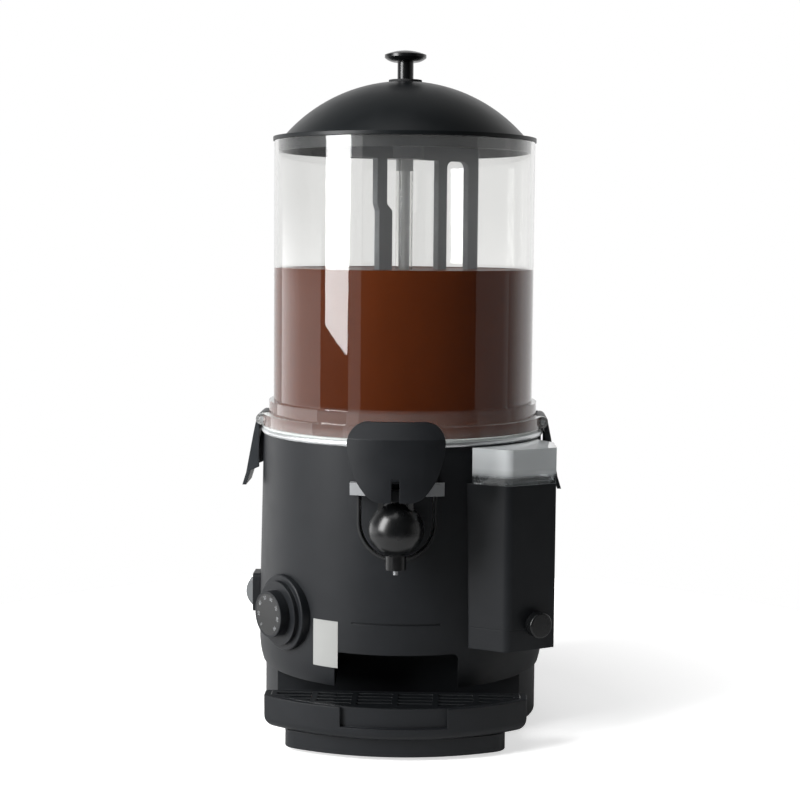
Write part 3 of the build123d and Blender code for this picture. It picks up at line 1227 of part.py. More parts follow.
# Drip needle: bright pin in the piston, clears the nozzle of drips
with BuildPart() as drip_needle:
    needle_z = BALL_Z - NOZZLE_L - NEEDLE_OUT
    with BuildSketch(Plane(origin=(0, TAP_Y, needle_z))):
        Circle(NEEDLE_R)
    extrude(amount=VALVE_Z + NEEDLE_IN - FIT - needle_z)
drip_needle.part.label = "drip_needle"
export_step(drip_needle.part, "parts/drip_needle.step")

with BuildPart() as piston_seal:
    with BuildSketch(Plane(origin=(0, TAP_Y, VALVE_Z - SEAL_T))):
        Circle(VALVE_R)
        Circle(NEEDLE_R + FIT, mode=Mode.SUBTRACT)
    extrude(amount=SEAL_T)
piston_seal.part.label = "piston_seal"
export_step(piston_seal.part, "parts/piston_seal.step")

# Tap spring: plain sleeve that stands for the coil above the valve disc
with BuildPart() as tap_spring:
    with BuildSketch(Plane(origin=(0, TAP_Y, VALVE_Z + VALVE_T))):
        Circle(VALVE_R - LIFT)
        Circle(STEM_R + LIFT, mode=Mode.SUBTRACT)
    extrude(amount=CHAMBER_TOP - VALVE_Z - VALVE_T)
tap_spring.part.label = "tap_spring"
export_step(tap_spring.part, "parts/tap_spring.step")

# Tap lever: bowed shield with a leaning top band, a hub on the pin and a fork behind it
LEVER_Z = PIVOT_Z - LEVER_DOWN
LEVER_TOP = PIVOT_Z + LEVER_UP
with BuildPart() as tap_lever:
    front_r = PIVOT_R + LEVER_AHEAD + LEVER_T
    bow_axis_y = AXIS_Y - front_r + LEVER_BOW
    back_r, lean_r = LEVER_BOW - LEVER_T, LEVER_BOW - LEVER_LEAN
    side_x, side_y = sin(radians(LEVER_SWEEP)), cos(radians(LEVER_SWEEP))
    left_plane = Plane(origin=(0, bow_axis_y, 0), x_dir=(-side_x, -side_y, 0), z_dir=(-side_y, side_x, 0))
    band_z = LEVER_TOP - LEVER_BAND
    strip = [(back_r, LEVER_Z), (LEVER_BOW, LEVER_Z), (LEVER_BOW, band_z), (lean_r, LEVER_TOP)]
    strip += [(lean_r - LEVER_T, LEVER_TOP), (back_r, band_z)]
    bow_axis = Axis((0, bow_axis_y, 0), (0, 0, 1))
    revolve(polygon(left_plane, strip), axis=bow_axis, revolution_arc=2 * LEVER_SWEEP)
    with BuildSketch(facing(0, 0, 0)) as shield:
        right_side = [(half, PIVOT_Z + rise) for half, rise in LEVER_SIDE]
        left_side = [(-half, height) for half, height in right_side]
        top_half = right_side[-1][0]
        with BuildLine():
            Spline(*right_side)
            Polyline(right_side[-1], (top_half, LEVER_TOP), (-top_half, LEVER_TOP), left_side[-1])
            Spline(*left_side)
            Line(left_side[0], right_side[0])
        make_face()
        fillet(shield.vertices(), radius=LEVER_CORNER)
    extrude(amount=FAR, mode=Mode.INTERSECT)
    with BuildSketch(section(0)):
        with BuildLine():
            web_r, web_z = front_r - LEVER_T / 2, PIVOT_Z + LEVER_HUB_R
            Polyline((PIVOT_R, LEVER_Z), (web_r, LEVER_Z), (web_r, web_z), (PIVOT_R, web_z), close=True)
        make_face()
        with Locations((PIVOT_R, PIVOT_Z)):
            Circle(LEVER_HUB_R)
    extrude(amount=LEVER_HUB_HALF, both=True)
    prong_w = LEVER_HUB_HALF - STEM_GAP
    for side in (-1, 1):
        with BuildSketch(section(0).offset(side * (STEM_GAP + prong_w / 2))):
            with Locations((PIVOT_R - PRONG_REACH / 2, (LEVER_Z + PIVOT_Z + PRONG_TOP) / 2)):
                Rectangle(PRONG_REACH, LEVER_DOWN + PRONG_TOP)
        extrude(amount=prong_w / 2, both=True)
    with BuildSketch(section(0)):
        with Locations((PIVOT_R, PIVOT_Z)):
            Circle(PIN_R + RUN)
    extrude(amount=LEVER_HUB_HALF, both=True, mode=Mode.SUBTRACT)
    with BuildSketch(facing(0, LEVER_Z, PIVOT_R + LEVER_HUB_R)):
        with Locations((0, LEVER_SLOT_H / 2)):
            Rectangle(2 * LEVER_SLOT_HALF, LEVER_SLOT_H)
    extrude(amount=LEVER_BOW, mode=Mode.SUBTRACT)
tap_lever.part.label = "tap_lever"
export_step(tap_lever.part, "parts/tap_lever.step")

# Lever pin through the tap's ears
with BuildPart() as lever_pin:
    with BuildSketch(section(0)):
        with Locations((PIVOT_R, PIVOT_Z)):
            Circle(PIN_R)
    extrude(amount=LEVER_HUB_HALF + LIFT + EAR_T, both=True)
lever_pin.part.label = "lever_pin"
export_step(lever_pin.part, "parts/lever_pin.step")

# Tap yoke: pale cross piece behind the lever, seated on the faceplate at its middle
with BuildPart() as tap_yoke:
    yoke_in, yoke_out = RIM_R + ROOM, RIM_R + ROOM + YOKE_DEEP
    yoke_z = PIVOT_Z - YOKE_H / 2
    revolve(ring(yoke_in, yoke_out, yoke_z, yoke_z + YOKE_H), axis=AXIS)
    with BuildSketch(facing(0, PIVOT_Z)):
        Rectangle(2 * YOKE_HALF, YOKE_H)
    extrude(amount=FAR, mode=Mode.INTERSECT)
    with BuildSketch(facing(0, PIVOT_Z, BODY_R / 2)):
        Rectangle(2 * YOKE_PAD_HALF, YOKE_H)
    extrude(amount=BODY_R / 2 + YOKE_DEEP / 2)
    revolve(casing_core(0), axis=AXIS, mode=Mode.SUBTRACT)
tap_yoke.part.label = "tap_yoke"
export_step(tap_yoke.part, "parts/tap_yoke.step")

# Filler box: tall water filler on the right, open above, with a drain spigot at its foot
FACE_START, FACE_END = [Vector((BODY_R + off) * sin(radians(a)), AXIS_Y - (BODY_R + off) * cos(radians(a)))
                        for a, off in BOX_CORNERS[1:3]]
FACE_ALONG = (FACE_END - FACE_START).normalized()
PLUG_SPOT = FACE_START + (FACE_END - FACE_START) * PLUG_ALONG + Vector(0, 0, SEAM_Z + PLUG_RISE)
PLUG_PLANE = Plane(origin=PLUG_SPOT, x_dir=FACE_ALONG, z_dir=(FACE_ALONG.Y, -FACE_ALONG.X, 0))
BOX_BACK = BODY_R + BOX_WALL
PIPE_Z = TANK_Z + PIPE_RISE
with BuildPart() as filler_box:
    extrude(box_outline(SEAM_Z, 0, BODY_TOP_R - BODY_WALL), amount=BOX_H)
    revolve(casing_core(0), axis=AXIS, mode=Mode.SUBTRACT)
    extrude(box_outline(SEAM_Z + BOX_WALL, BOX_WALL, BOX_BACK), amount=BOX_H, mode=Mode.SUBTRACT)
    with BuildSketch(PLUG_PLANE):
        Circle(SPIGOT_R)
    extrude(amount=-PLUG_STEM_L - 2 * BOX_WALL)
    with BuildSketch(PLUG_PLANE):
        Circle(PLUG_STEM_R + LIFT)
    extrude(amount=-PLUG_STEM_L - LIFT, mode=Mode.SUBTRACT)
    drain_spot = PLUG_SPOT - PLUG_PLANE.z_dir * PLUG_STEM_L / 2
    with BuildSketch(Plane(origin=drain_spot)):
        Circle(PLUG_STEM_R / 2)
    extrude(amount=SPIGOT_R + BOX_WALL, mode=Mode.SUBTRACT)
    with BuildSketch(facing(PIPE_AZIMUTH, PIPE_Z, BODY_R - BODY_WALL)):
        Circle(PIPE_R + FIT)
    extrude(amount=BODY_WALL + 2 * BOX_WALL, mode=Mode.SUBTRACT)
filler_box.part.label = "filler_box"
export_step(filler_box.part, "parts/filler_box.step")

# Filler base: closes the foot of the box, notched round the spigot
with BuildPart() as filler_base:
    extrude(box_outline(SEAM_Z, 0, BODY_TOP_R - BODY_WALL), amount=-BOX_CAP_H)
    revolve(casing_core(0), axis=AXIS, mode=Mode.SUBTRACT)
    extrude(box_outline(SEAM_Z, BOX_WALL, BOX_BACK), amount=BOX_WALL - BOX_CAP_H, mode=Mode.SUBTRACT)
    with BuildSketch(PLUG_PLANE):
        Circle(SPIGOT_R + LIFT)
    extrude(amount=-PLUG_STEM_L - 3 * BOX_WALL, mode=Mode.SUBTRACT)
filler_base.part.label = "filler_base"
export_step(filler_base.part, "parts/filler_base.step")

# Filler cap: clear cover that lifts off past the rim
CAP_Z = BOX_TOP + LIFT
with BuildPart() as filler_cap:
    cap_back, lip_in, lip_back = RIM_R + CAP_GAP, BOX_WALL + ROOM, BOX_BACK + ROOM
    lip_z, hollow_z = CAP_Z - FILLER_LIP_H, CAP_Z + BOX_WALL
    extrude(box_outline(CAP_Z, 0, cap_back), amount=FILLER_CAP_H)
    extrude(box_outline(lip_z, lip_in, lip_back), amount=FILLER_LIP_H)
    lip_hollow = box_outline(lip_z, lip_in + BOX_WALL, lip_back + BOX_WALL)
    extrude(lip_hollow, amount=FILLER_LIP_H + BOX_WALL, mode=Mode.SUBTRACT)
    cap_hollow = box_outline(hollow_z, BOX_WALL, cap_back + BOX_WALL)
    extrude(cap_hollow, amount=FILLER_CAP_H - 2 * BOX_WALL, mode=Mode.SUBTRACT)
filler_cap.part.label = "filler_cap"
export_step(filler_cap.part, "parts/filler_cap.step")

# Water pipe: joins the box to the tank
with BuildPart() as water_pipe:
    pipe_in = TANK_R - TANK_WALL
    with BuildSketch(facing(PIPE_AZIMUTH, PIPE_Z, pipe_in)):
        Circle(PIPE_R)
        Circle(PIPE_R - PIPE_WALL, mode=Mode.SUBTRACT)
    extrude(amount=BODY_R + 2 * BOX_WALL - pipe_in)
water_pipe.part.label = "water_pipe"
export_step(water_pipe.part, "parts/water_pipe.step")

# Drain plug and its seal at the foot of the box
with BuildPart() as drain_plug:
    with BuildSketch(PLUG_PLANE.offset(PLUG_SEAL_T + LIFT)):
        Circle(PLUG_R)
    extrude(amount=PLUG_T)
    fillet(drain_plug.edges().filter_by(GeomType.CIRCLE), radius=PLUG_SEAL_T)
    with BuildSketch(PLUG_PLANE.offset(PLUG_SEAL_T + LIFT)):
        Circle(PLUG_STEM_R)
    extrude(amount=-PLUG_STEM_L)
drain_plug.part.label = "drain_plug"
export_step(drain_plug.part, "parts/drain_plug.step")

with BuildPart() as drain_seal:
    with BuildSketch(PLUG_PLANE.offset(LIFT)):
        Circle(SPIGOT_R)
        Circle(PLUG_STEM_R + FIT, mode=Mode.SUBTRACT)
    extrude(amount=PLUG_SEAL_T)
drain_seal.part.label = "drain_seal"
export_step(drain_seal.part, "parts/drain_seal.step")

# Drip tray: round-fronted tray with a finger pull and a guide that runs into the bay
TRAY_Z = TONGUE_Z + LIFT
TRAY_TOP = TRAY_Z + TRAY_H


def segment(height, radius, back, half, corner=0.0):
    """Round-fronted plate seen from above, with a straight back edge and straight ends."""
    with BuildSketch(level(height)) as face:
        Circle(radius)
        with Locations((0, -back - radius / 2)):
            Rectangle(2 * half, radius, mode=Mode.INTERSECT)
        if corner:
            fillet(face.vertices(), radius=corner)
    return face.sketch


TRAY_IN_R = TRAY_R - TRAY_FRONT_WALL
TRAY_IN_BACK = TRAY_BACK + TRAY_WALL
TRAY_IN_HALF = TRAY_HALF - TRAY_FRONT_WALL
with BuildPart() as drip_tray:
    with BuildSketch(section(90)) as tray_section:
        with Locations((TRAY_R / 2, TRAY_Z + TRAY_H / 2)):
            Rectangle(TRAY_R, TRAY_H)
        outer_low = tray_section.vertices().group_by(Axis.Y)[0].sort_by(Axis.X)[-1]
        fillet(outer_low, radius=TRAY_EDGE)
    revolve(axis=AXIS)
    extrude(segment(TRAY_Z, TRAY_R, TRAY_BACK, TRAY_HALF, TRAY_CORNER), amount=TRAY_H, mode=Mode.INTERSECT)
    with BuildSketch(section(90)) as tray_front:
        with Locations((0, TRAY_Z + TRAY_H / 2)):
            Rectangle(2 * TRAY_HALF, TRAY_H)
        fillet(tray_front.vertices().group_by(Axis.Y)[0], radius=TRAY_END_R)
    extrude(amount=FAR, mode=Mode.INTERSECT)
    hollow = segment(TRAY_Z + TRAY_WALL, TRAY_IN_R, TRAY_IN_BACK, TRAY_IN_HALF)
    extrude(hollow, amount=TRAY_H, mode=Mode.SUBTRACT)
    seat_r, seat_back, seat_half = TRAY_IN_R + GRID_LEDGE, TRAY_IN_BACK - GRID_LEDGE, TRAY_IN_HALF + GRID_LEDGE
    grid_seat = segment(TRAY_TOP - GRID_T, seat_r, seat_back, seat_half)
    extrude(grid_seat, amount=GRID_T, mode=Mode.SUBTRACT)
    with BuildSketch(level(TRAY_TOP)):
        with Locations((0, -TRAY_R)):
            Rectangle(2 * PULL_HALF, TRAY_R / 2)
        Circle(TRAY_R - PULL_DEEP, mode=Mode.SUBTRACT)
    extrude(amount=-PULL_H, mode=Mode.SUBTRACT)
    with BuildSketch(level(TRAY_Z)):
        with Locations((0, -TRAY_BACK + (GUIDE_DEEP - TRAY_WALL) / 2)):
            Rectangle(2 * GUIDE_HALF, GUIDE_DEEP + TRAY_WALL)
    extrude(amount=GUIDE_T)
drip_tray.part.label = "drip_tray"
export_step(drip_tray.part, "parts/drip_tray.step")

# Drip grid: slotted plate on the tray's ledge
with BuildPart() as drip_grid:
    grid_r, grid_back, grid_half = seat_r - LIFT, seat_back + LIFT, seat_half - LIFT
    extrude(segment(TRAY_TOP - GRID_T, grid_r, grid_back, grid_half), amount=GRID_T)
    with BuildSketch(level(TRAY_TOP)):
        rows = [-grid_back - GRID_EDGE - GRID_SLOT_W / 2 - i * GRID_PITCH for i in range(GRID_ROWS)]
        with Locations(*[(0, y) for y in rows]):
            Rectangle(2 * (grid_half - GRID_EDGE), GRID_SLOT_W)
        Circle(grid_r - GRID_EDGE, mode=Mode.INTERSECT)
        with Locations(*[(x * GRID_RIB_PITCH, -grid_r) for x in (-2, -1, 0, 1, 2)]):
            Rectangle(GRID_RIB_W, FAR, mode=Mode.SUBTRACT)
    extrude(amount=-GRID_T, mode=Mode.SUBTRACT)
drip_grid.part.label = "drip_grid"
export_step(drip_grid.part, "parts/drip_grid.step")
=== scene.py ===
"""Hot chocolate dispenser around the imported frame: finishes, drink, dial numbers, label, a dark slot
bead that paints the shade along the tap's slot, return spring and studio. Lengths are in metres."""

import math

import bpy
from mathutils import Matrix, Quaternion, Vector


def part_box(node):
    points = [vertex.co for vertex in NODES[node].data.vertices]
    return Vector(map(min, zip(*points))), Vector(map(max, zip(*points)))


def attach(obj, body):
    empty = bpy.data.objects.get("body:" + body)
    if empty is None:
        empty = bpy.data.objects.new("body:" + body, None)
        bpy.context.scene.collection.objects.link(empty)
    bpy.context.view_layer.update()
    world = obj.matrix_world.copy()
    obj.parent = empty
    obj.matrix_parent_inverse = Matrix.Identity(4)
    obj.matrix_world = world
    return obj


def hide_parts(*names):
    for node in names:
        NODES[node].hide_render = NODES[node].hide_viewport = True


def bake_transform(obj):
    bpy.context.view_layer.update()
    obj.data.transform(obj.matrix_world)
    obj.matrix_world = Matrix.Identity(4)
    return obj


bl_info = {
    "name": "Hot chocolate dispenser",
    "version": (1, 0, 0),
    "blender": (4, 5, 0),
    "location": "View3D > Sidebar > Dispenser",
    "description": "Dresses the packed hot chocolate dispenser and sets up its studio",
    "category": "Object",
}

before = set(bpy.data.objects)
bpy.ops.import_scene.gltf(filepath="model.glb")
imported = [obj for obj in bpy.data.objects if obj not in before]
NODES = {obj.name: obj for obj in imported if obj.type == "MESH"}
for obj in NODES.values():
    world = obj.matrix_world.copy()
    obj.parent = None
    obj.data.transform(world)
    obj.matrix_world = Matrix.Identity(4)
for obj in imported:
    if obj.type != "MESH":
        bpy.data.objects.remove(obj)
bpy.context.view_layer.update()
MM = 0.001

# Places that the pieces share, read off the frame
LID_LOW, LID_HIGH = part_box("lid")
AXIS_Y = (LID_LOW.y + LID_HIGH.y) / 2
SHELL_LOW, SHELL_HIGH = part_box("body_shell")
SHELL_R = (SHELL_HIGH.x - SHELL_LOW.x) / 2

# Sockets of the Mix node, which keeps a set for each kind of value
MIX_FACTOR = 0
COLOUR_A, COLOUR_B, COLOUR_OUT = 6, 7, 2
FLOAT_A, FLOAT_B, FLOAT_OUT = 2, 3, 0

WHITE = (1, 1, 1, 1)


def linear(hex_colour):
    """Linear RGBA of an sRGB hex colour."""
    channels = [int(hex_colour[i:i + 2], 16) / 255 for i in (1, 3, 5)]
    return [c / 12.92 if c <= 0.04045 else ((c + 0.055) / 1.055) ** 2.4 for c in channels] + [1.0]


def node(tree, kind, settings=None, links=None, **attributes):
    """Adds a node: settings go on its input sockets, links join other nodes' outputs to its inputs."""
    made = tree.nodes.new(kind)
    for name, value in attributes.items():
        setattr(made, name, value)
    for key, value in (settings or {}).items():
        made.inputs[key].default_value = value
    for key, source in (links or {}).items():
        tree.links.new(source, made.inputs[key])
    return made


def start_material(name):
    """Empty node material with its output."""
    material = bpy.data.materials.new(name)
    material.use_nodes = True
    material.node_tree.nodes.clear()
    output = node(material.node_tree, "ShaderNodeOutputMaterial")
    return material, material.node_tree, output


def moulded(name, colour, pale, roughness, grain_mm, depth_mm, edge_mm, shine=0.5):
    """Injection-moulded plastic: a spark-eroded grain, faint cloudy tone and softened edges.
    A real grain is about a tenth of a millimetre; it is drawn several times coarser, so that it shows."""
    cloud_mm, roughness_spread = 18.0, 0.06
    material, tree, output = start_material(name)
    place = node(tree, "ShaderNodeTexCoord")
    spot = {"Vector": place.outputs["Object"]}
    cloud = node(tree, "ShaderNodeTexNoise", {"Scale": 1 / (cloud_mm * MM), "Detail": 3.0}, spot)
    tones = {COLOUR_A: linear(colour), COLOUR_B: linear(pale)}
    tone = node(tree, "ShaderNodeMix", tones, {MIX_FACTOR: cloud.outputs["Fac"]}, data_type="RGBA")
    grain = node(tree, "ShaderNodeTexNoise", {"Scale": 1 / (grain_mm * MM), "Detail": 2.0}, spot)
    spread = {"To Min": roughness - roughness_spread, "To Max": roughness + roughness_spread}
    rough = node(tree, "ShaderNodeMapRange", spread, {"Value": cloud.outputs["Fac"]})
    edge = node(tree, "ShaderNodeBevel", {"Radius": edge_mm * MM}, samples=4)
    relief = {"Height": grain.outputs["Fac"], "Normal": edge.outputs["Normal"]}
    bump = node(tree, "ShaderNodeBump", {"Strength": 0.35, "Distance": depth_mm * MM}, relief)
    links = {
        "Base Color": tone.outputs[COLOUR_OUT],
        "Roughness": rough.outputs["Result"],
        "Normal": bump.outputs["Normal"],
    }
    shader = node(tree, "ShaderNodeBsdfPrincipled", {"IOR": 1.5, "Specular IOR Level": shine}, links)
    tree.links.new(shader.outputs["BSDF"], output.inputs["Surface"])
    return material


def brushed(name, colour, roughness, line_mm, along_z=False):
    """Steel with turned or drawn lines that stretch its highlights.
    Real lines are hair-fine; they are drawn about ten times coarser, so that they show."""
    long, edge_mm = 0.02, 0.4
    material, tree, output = start_material(name)
    place = node(tree, "ShaderNodeTexCoord")
    stretch = (1.0, 1.0, long) if along_z else (long, long, 1.0)
    lay = node(tree, "ShaderNodeMapping", {"Scale": stretch}, {"Vector": place.outputs["Object"]})
    fineness = {"Scale": 1 / (line_mm * MM), "Detail": 2.0}
    lines = node(tree, "ShaderNodeTexNoise", fineness, {"Vector": lay.outputs["Vector"]})
    spread = {"To Min": roughness - 0.05, "To Max": roughness + 0.08}
    rough = node(tree, "ShaderNodeMapRange", spread, {"Value": lines.outputs["Fac"]})
    edge = node(tree, "ShaderNodeBevel", {"Radius": edge_mm * MM}, samples=4)
    relief = {"Height": lines.outputs["Fac"], "Normal": edge.outputs["Normal"]}
    bump = node(tree, "ShaderNodeBump", {"Strength": 0.08, "Distance": 0.05 * MM}, relief)
    settings = {"Base Color": linear(colour), "Metallic": 1.0}
    links = {"Roughness": rough.outputs["Result"], "Normal": bump.outputs["Normal"]}
    shader = node(tree, "ShaderNodeBsdfPrincipled", settings, links)
    tree.links.new(shader.outputs["BSDF"], output.inputs["Surface"])
    return material


def clear(name, tint, roughness, ior, through=1.0, haze=None):
    """Clear or milky moulded polymer with barely visible flow waves in its wall; lamps shine through it.
    haze gives heights, each with the share of the light that goes through there, in rising order."""
    wave_mm = 60.0
    material, tree, output = start_material(name)
    place = node(tree, "ShaderNodeTexCoord")
    waves = {"Scale": 1 / (wave_mm * MM), "Detail": 1.0}
    flow = node(tree, "ShaderNodeTexNoise", waves, {"Vector": place.outputs["Object"]})
    relief = {"Strength": 0.05, "Distance": 0.05 * MM}
    bump = node(tree, "ShaderNodeBump", relief, {"Height": flow.outputs["Fac"]})
    settings = {
        "Base Color": linear(tint),
        "Roughness": roughness,
        "IOR": ior,
        "Transmission Weight": through,
    }
    shader = node(tree, "ShaderNodeBsdfPrincipled", settings, {"Normal": bump.outputs["Normal"]})
    if haze:
        axes = node(tree, "ShaderNodeSeparateXYZ", None, {0: place.outputs["Object"]})
        share = node(tree, "ShaderNodeValToRGB", None, {0: axes.outputs["Z"]})
        steps = share.color_ramp.elements
        while len(steps) < len(haze):
            steps.new(1.0)
        for step, (height, passed) in zip(steps, haze):
            step.position = height
            step.color = (passed, passed, passed, 1.0)
        tree.links.new(share.outputs["Color"], shader.inputs["Transmission Weight"])
    ray = node(tree, "ShaderNodeLightPath")
    passing = node(tree, "ShaderNodeBsdfTransparent", {"Color": linear(tint)})
    sides = {0: ray.outputs["Is Shadow Ray"], 1: shader.outputs["BSDF"], 2: passing.outputs[0]}
    both = node(tree, "ShaderNodeMixShader", None, sides)
    tree.links.new(both.outputs[0], output.inputs["Surface"])
    return material


def stirred(name, colour, deep, roughness):
    """Opaque drink with a dull milky skin and slow darker streaks from stirring."""
    streak_mm, upright = 45.0, 0.25
    material, tree, output = start_material(name)
    place = node(tree, "ShaderNodeTexCoord")
    stretch = {"Scale": (1.0, 1.0, upright)}
    lay = node(tree, "ShaderNodeMapping", stretch, {"Vector": place.outputs["Object"]})
    fineness = {"Scale": 1 / (streak_mm * MM), "Detail": 3.0}
    streaks = node(tree, "ShaderNodeTexNoise", fineness, {"Vector": lay.outputs["Vector"]})
    tones = {COLOUR_A: linear(colour), COLOUR_B: linear(deep)}
    tone = node(tree, "ShaderNodeMix", tones, {MIX_FACTOR: streaks.outputs["Fac"]}, data_type="RGBA")
    settings = {"Roughness": roughness, "IOR": 1.36, "Specular IOR Level": 0.05}
    shader = node(tree, "ShaderNodeBsdfPrincipled", settings, {"Base Color": tone.outputs[COLOUR_OUT]})
    tree.links.new(shader.outputs["BSDF"], output.inputs["Surface"])
    return material


# Heights above the counter, each with the share of light that goes through the wall there
BOWL_HAZE = ((0.2525, 0.95), (0.2535, 0.84), (0.2585, 0.87), (0.2605, 0.92), (0.274, 0.92), (0.276, 1.0))
CAP_HAZE = ((0.2255, 0.97), (0.227, 0.25))
FINISHES = {}


def make_finishes(colours):
    """Every finish, by the name of the real material."""
    made = (
        # ABS with a spark-eroded mould grain: dark, soft grey sheen
        moulded(
            "casing_abs", colours.casing, "#1E2023",
            roughness=0.46, grain_mm=0.9, depth_mm=0.05, edge_mm=0.9, shine=0.26,
        ),
        # Polypropylene dome from a polished mould: smoother than the casing
        moulded(
            "lid_polypropylene", colours.lid, "#171A1C",
            roughness=0.38, grain_mm=1.2, depth_mm=0.03, edge_mm=0.8, shine=0.3,
        ),
        # Acetal turned and polished: tight highlights
        moulded(
            "satin_acetal", "#0C0D0E", "#121314",
            roughness=0.26, grain_mm=1.2, depth_mm=0.02, edge_mm=0.6,
        ),
        # Glass-filled nylon latches: a shade paler than the casing. The paler colour is partly painted
        # light: it stands in for the lamp light on the left latch's face
        moulded(
            "latch_nylon", "#2A2D30", "#323538",
            roughness=0.44, grain_mm=0.9, depth_mm=0.04, edge_mm=0.8, shine=0.3,
        ),
        # Natural acetal: milky grey white
        moulded(
            "natural_acetal", "#8F9193", "#9C9EA0",
            roughness=0.4, grain_mm=1.2, depth_mm=0.02, edge_mm=0.5,
        ),
        # Grey ABS of the rocker: plain and satin
        moulded(
            "grey_abs", colours.rocker, "#85888A",
            roughness=0.42, grain_mm=0.8, depth_mm=0.03, edge_mm=0.5,
        ),
        # Glass-filled nylon stirrer: dull charcoal
        moulded(
            "stirrer_nylon", "#4C4F52", "#56595C",
            roughness=0.5, grain_mm=0.9, depth_mm=0.04, edge_mm=1.0,
        ),
        # Polished ABS of the drip grid: wet-looking glints on its rounded ribs
        moulded(
            "polished_abs", "#141618", "#1C1E20",
            roughness=0.16, grain_mm=1.2, depth_mm=0.02, edge_mm=1.4,
        ),
        # Nitrile rubber: matt, nearly black
        moulded(
            "nitrile_rubber", "#18191A", "#202122",
            roughness=0.75, grain_mm=0.7, depth_mm=0.05, edge_mm=0.6,
        ),
        # Paper label under a clear film: pale, with a soft gloss
        moulded(
            "label_film", "#A6A7A5", "#9FA09E",
            roughness=0.3, grain_mm=1.0, depth_mm=0.01, edge_mm=0.1,
        ),
        # Pad print: thin, pale grey ink
        moulded(
            "pad_print_ink", "#8E9092", "#7E8082",
            roughness=0.5, grain_mm=0.6, depth_mm=0.01, edge_mm=0.05,
        ),
        # Zinc-plated sheet steel: dull spangled grey
        brushed("zinc_plate", "#A9ACB0", roughness=0.42, line_mm=2.0),
        # Deep-drawn stainless steel: polished rim with turned lines
        brushed("polished_stainless", "#E2E4E5", roughness=0.42, line_mm=0.8),
        # Drawn stainless rod: lines along its length
        brushed("drawn_stainless", "#A4A6A8", roughness=0.5, line_mm=0.8, along_z=True),
        # Silicone seal: milky and soft
        clear("milky_silicone", "#DDE0DF", roughness=0.3, ior=1.41, through=0.4),
        # Clear copolyester bowl: glass-like, its thick flange hazy
        clear("clear_copolyester", "#EFEFEE", roughness=0.02, ior=1.5, haze=BOWL_HAZE),
        # Milky polypropylene filler cap: catches light in its wall. Its foot is clear, so that the dark
        # box shows through
        clear("milky_polypropylene", "#DADDDE", roughness=0.05, ior=1.49, through=0.25, haze=CAP_HAZE),
        # Hot chocolate: opaque brown, hardly any gloss
        stirred("hot_chocolate", colours.chocolate, "#3A1705", roughness=0.4),
    )
    for material in made:
        FINISHES[material.name.split(".")[0]] = material


# Finish of each part that is shown as it was built
NODE_FINISH = {
    "casing_abs": (
        "base body_shell cord_gland dial_bezel switch_bezel switch_body filler_box filler_base "
        "tap_faceplate tap_lever dial_knob drip_tray"
    ),
    # The latches take the paler colour, which partly paints the lamp light on the left latch
    "latch_nylon": "latch_left latch_right",
    "polished_abs": "drip_grid",
    "lid_polypropylene": "lid",
    "satin_acetal": "tap_body tap_nozzle lid_knob valve_piston dial_face drain_plug",
    "natural_acetal": "tap_yoke riser_bush rod_bush terminal_block thermostat water_pipe stirrer_hub",
    "grey_abs": "rocker",
    "stirrer_nylon": "stirrer_frame stirrer_blades",
    "nitrile_rubber": "rubber_feet knob_washer piston_seal drain_seal",
    "milky_silicone": "bowl_gasket",
    "zinc_plate": (
        "bottom_plate plate_screws motor_bracket gearbox gearbox_screws motor thermal_cutout "
        "rod_coupling knob_screw dial_spindle"
    ),
    "polished_stainless": "water_tank heater latch_pins lever_pin",
    "drawn_stainless": "drive_rod drip_needle",
    "clear_copolyester": "bowl",
    "milky_polypropylene": "filler_cap",
}


class DispenserColours(bpy.types.PropertyGroup):
    """Colours a user would change."""

    casing: bpy.props.StringProperty(
        name="Casing", description="Casing colour, sRGB hex", default="#17191C"
    )
    lid: bpy.props.StringProperty(
        name="Lid", description="Lid colour, sRGB hex", default="#101315"
    )
    rocker: bpy.props.StringProperty(
        name="Rocker", description="Power rocker colour, sRGB hex", default="#6C6E70"
    )
    chocolate: bpy.props.StringProperty(
        name="Chocolate", description="Drink colour, sRGB hex", default="#4B2008"
    )


class DispenserSizes(bpy.types.PropertyGroup):
    """Sizes a user would change."""

    fill_height: bpy.props.FloatProperty(
        name="Fill height", description="Top of the drink above the counter",
        default=0.391, min=0.2, max=0.46, unit="LENGTH",
    )
    numeral_height: bpy.props.FloatProperty(
        name="Numeral height", description="Height of the dial's numbers", default=0.0042, unit="LENGTH"
    )


class DISPENSER_OT_finishes(bpy.types.Operator):
    """Makes the finishes and puts them on the parts that are shown as built"""

    bl_idname = "dispenser.finishes"
    bl_label = "Finishes"

    def execute(self, context):
        make_finishes(context.scene.dispenser_colours)
        for finish, names in NODE_FINISH.items():
            for name in names.split():
                NODES[name].data.materials.clear()
                NODES[name].data.materials.append(FINISHES[finish])
        return {"FINISHED"}


def add(context, primitive, **settings):
    """Adds a primitive with nothing else selected."""
    bpy.ops.object.select_all(action="DESELECT")
    primitive(**settings)
    return context.active_object


def pick(piece, kind, wanted):
    """Leaves the active piece in edit mode with only the wanted vertices or polygons selected."""
    bpy.ops.object.mode_set(mode="EDIT")
    bpy.ops.mesh.select_all(action="DESELECT")
    bpy.ops.object.mode_set(mode="OBJECT")
    for element in getattr(piece.data, kind):
        element.select = wanted(element)
    bpy.ops.object.mode_set(mode="EDIT")


def faces_up(face):
    """True for the level faces on top of a shape."""
    return face.normal.z > 0.9


def make_active(context, piece):
    """Selects the piece alone and makes it the active one."""
    bpy.ops.object.select_all(action="DESELECT")
    piece.select_set(True)
    context.view_layer.objects.active = piece


def new_piece(context, name, finish, body):
    """Names the active new object, applies its place and gives it its finish.
    A rigid piece also gets its body."""
    piece = context.active_object
    piece.name = name
    make_active(context, piece)
    bpy.ops.object.transform_apply(location=True, rotation=True, scale=True)
    piece.data.materials.clear()
    piece.data.materials.append(FINISHES[finish])
    if body:
        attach(piece, body)
    return piece


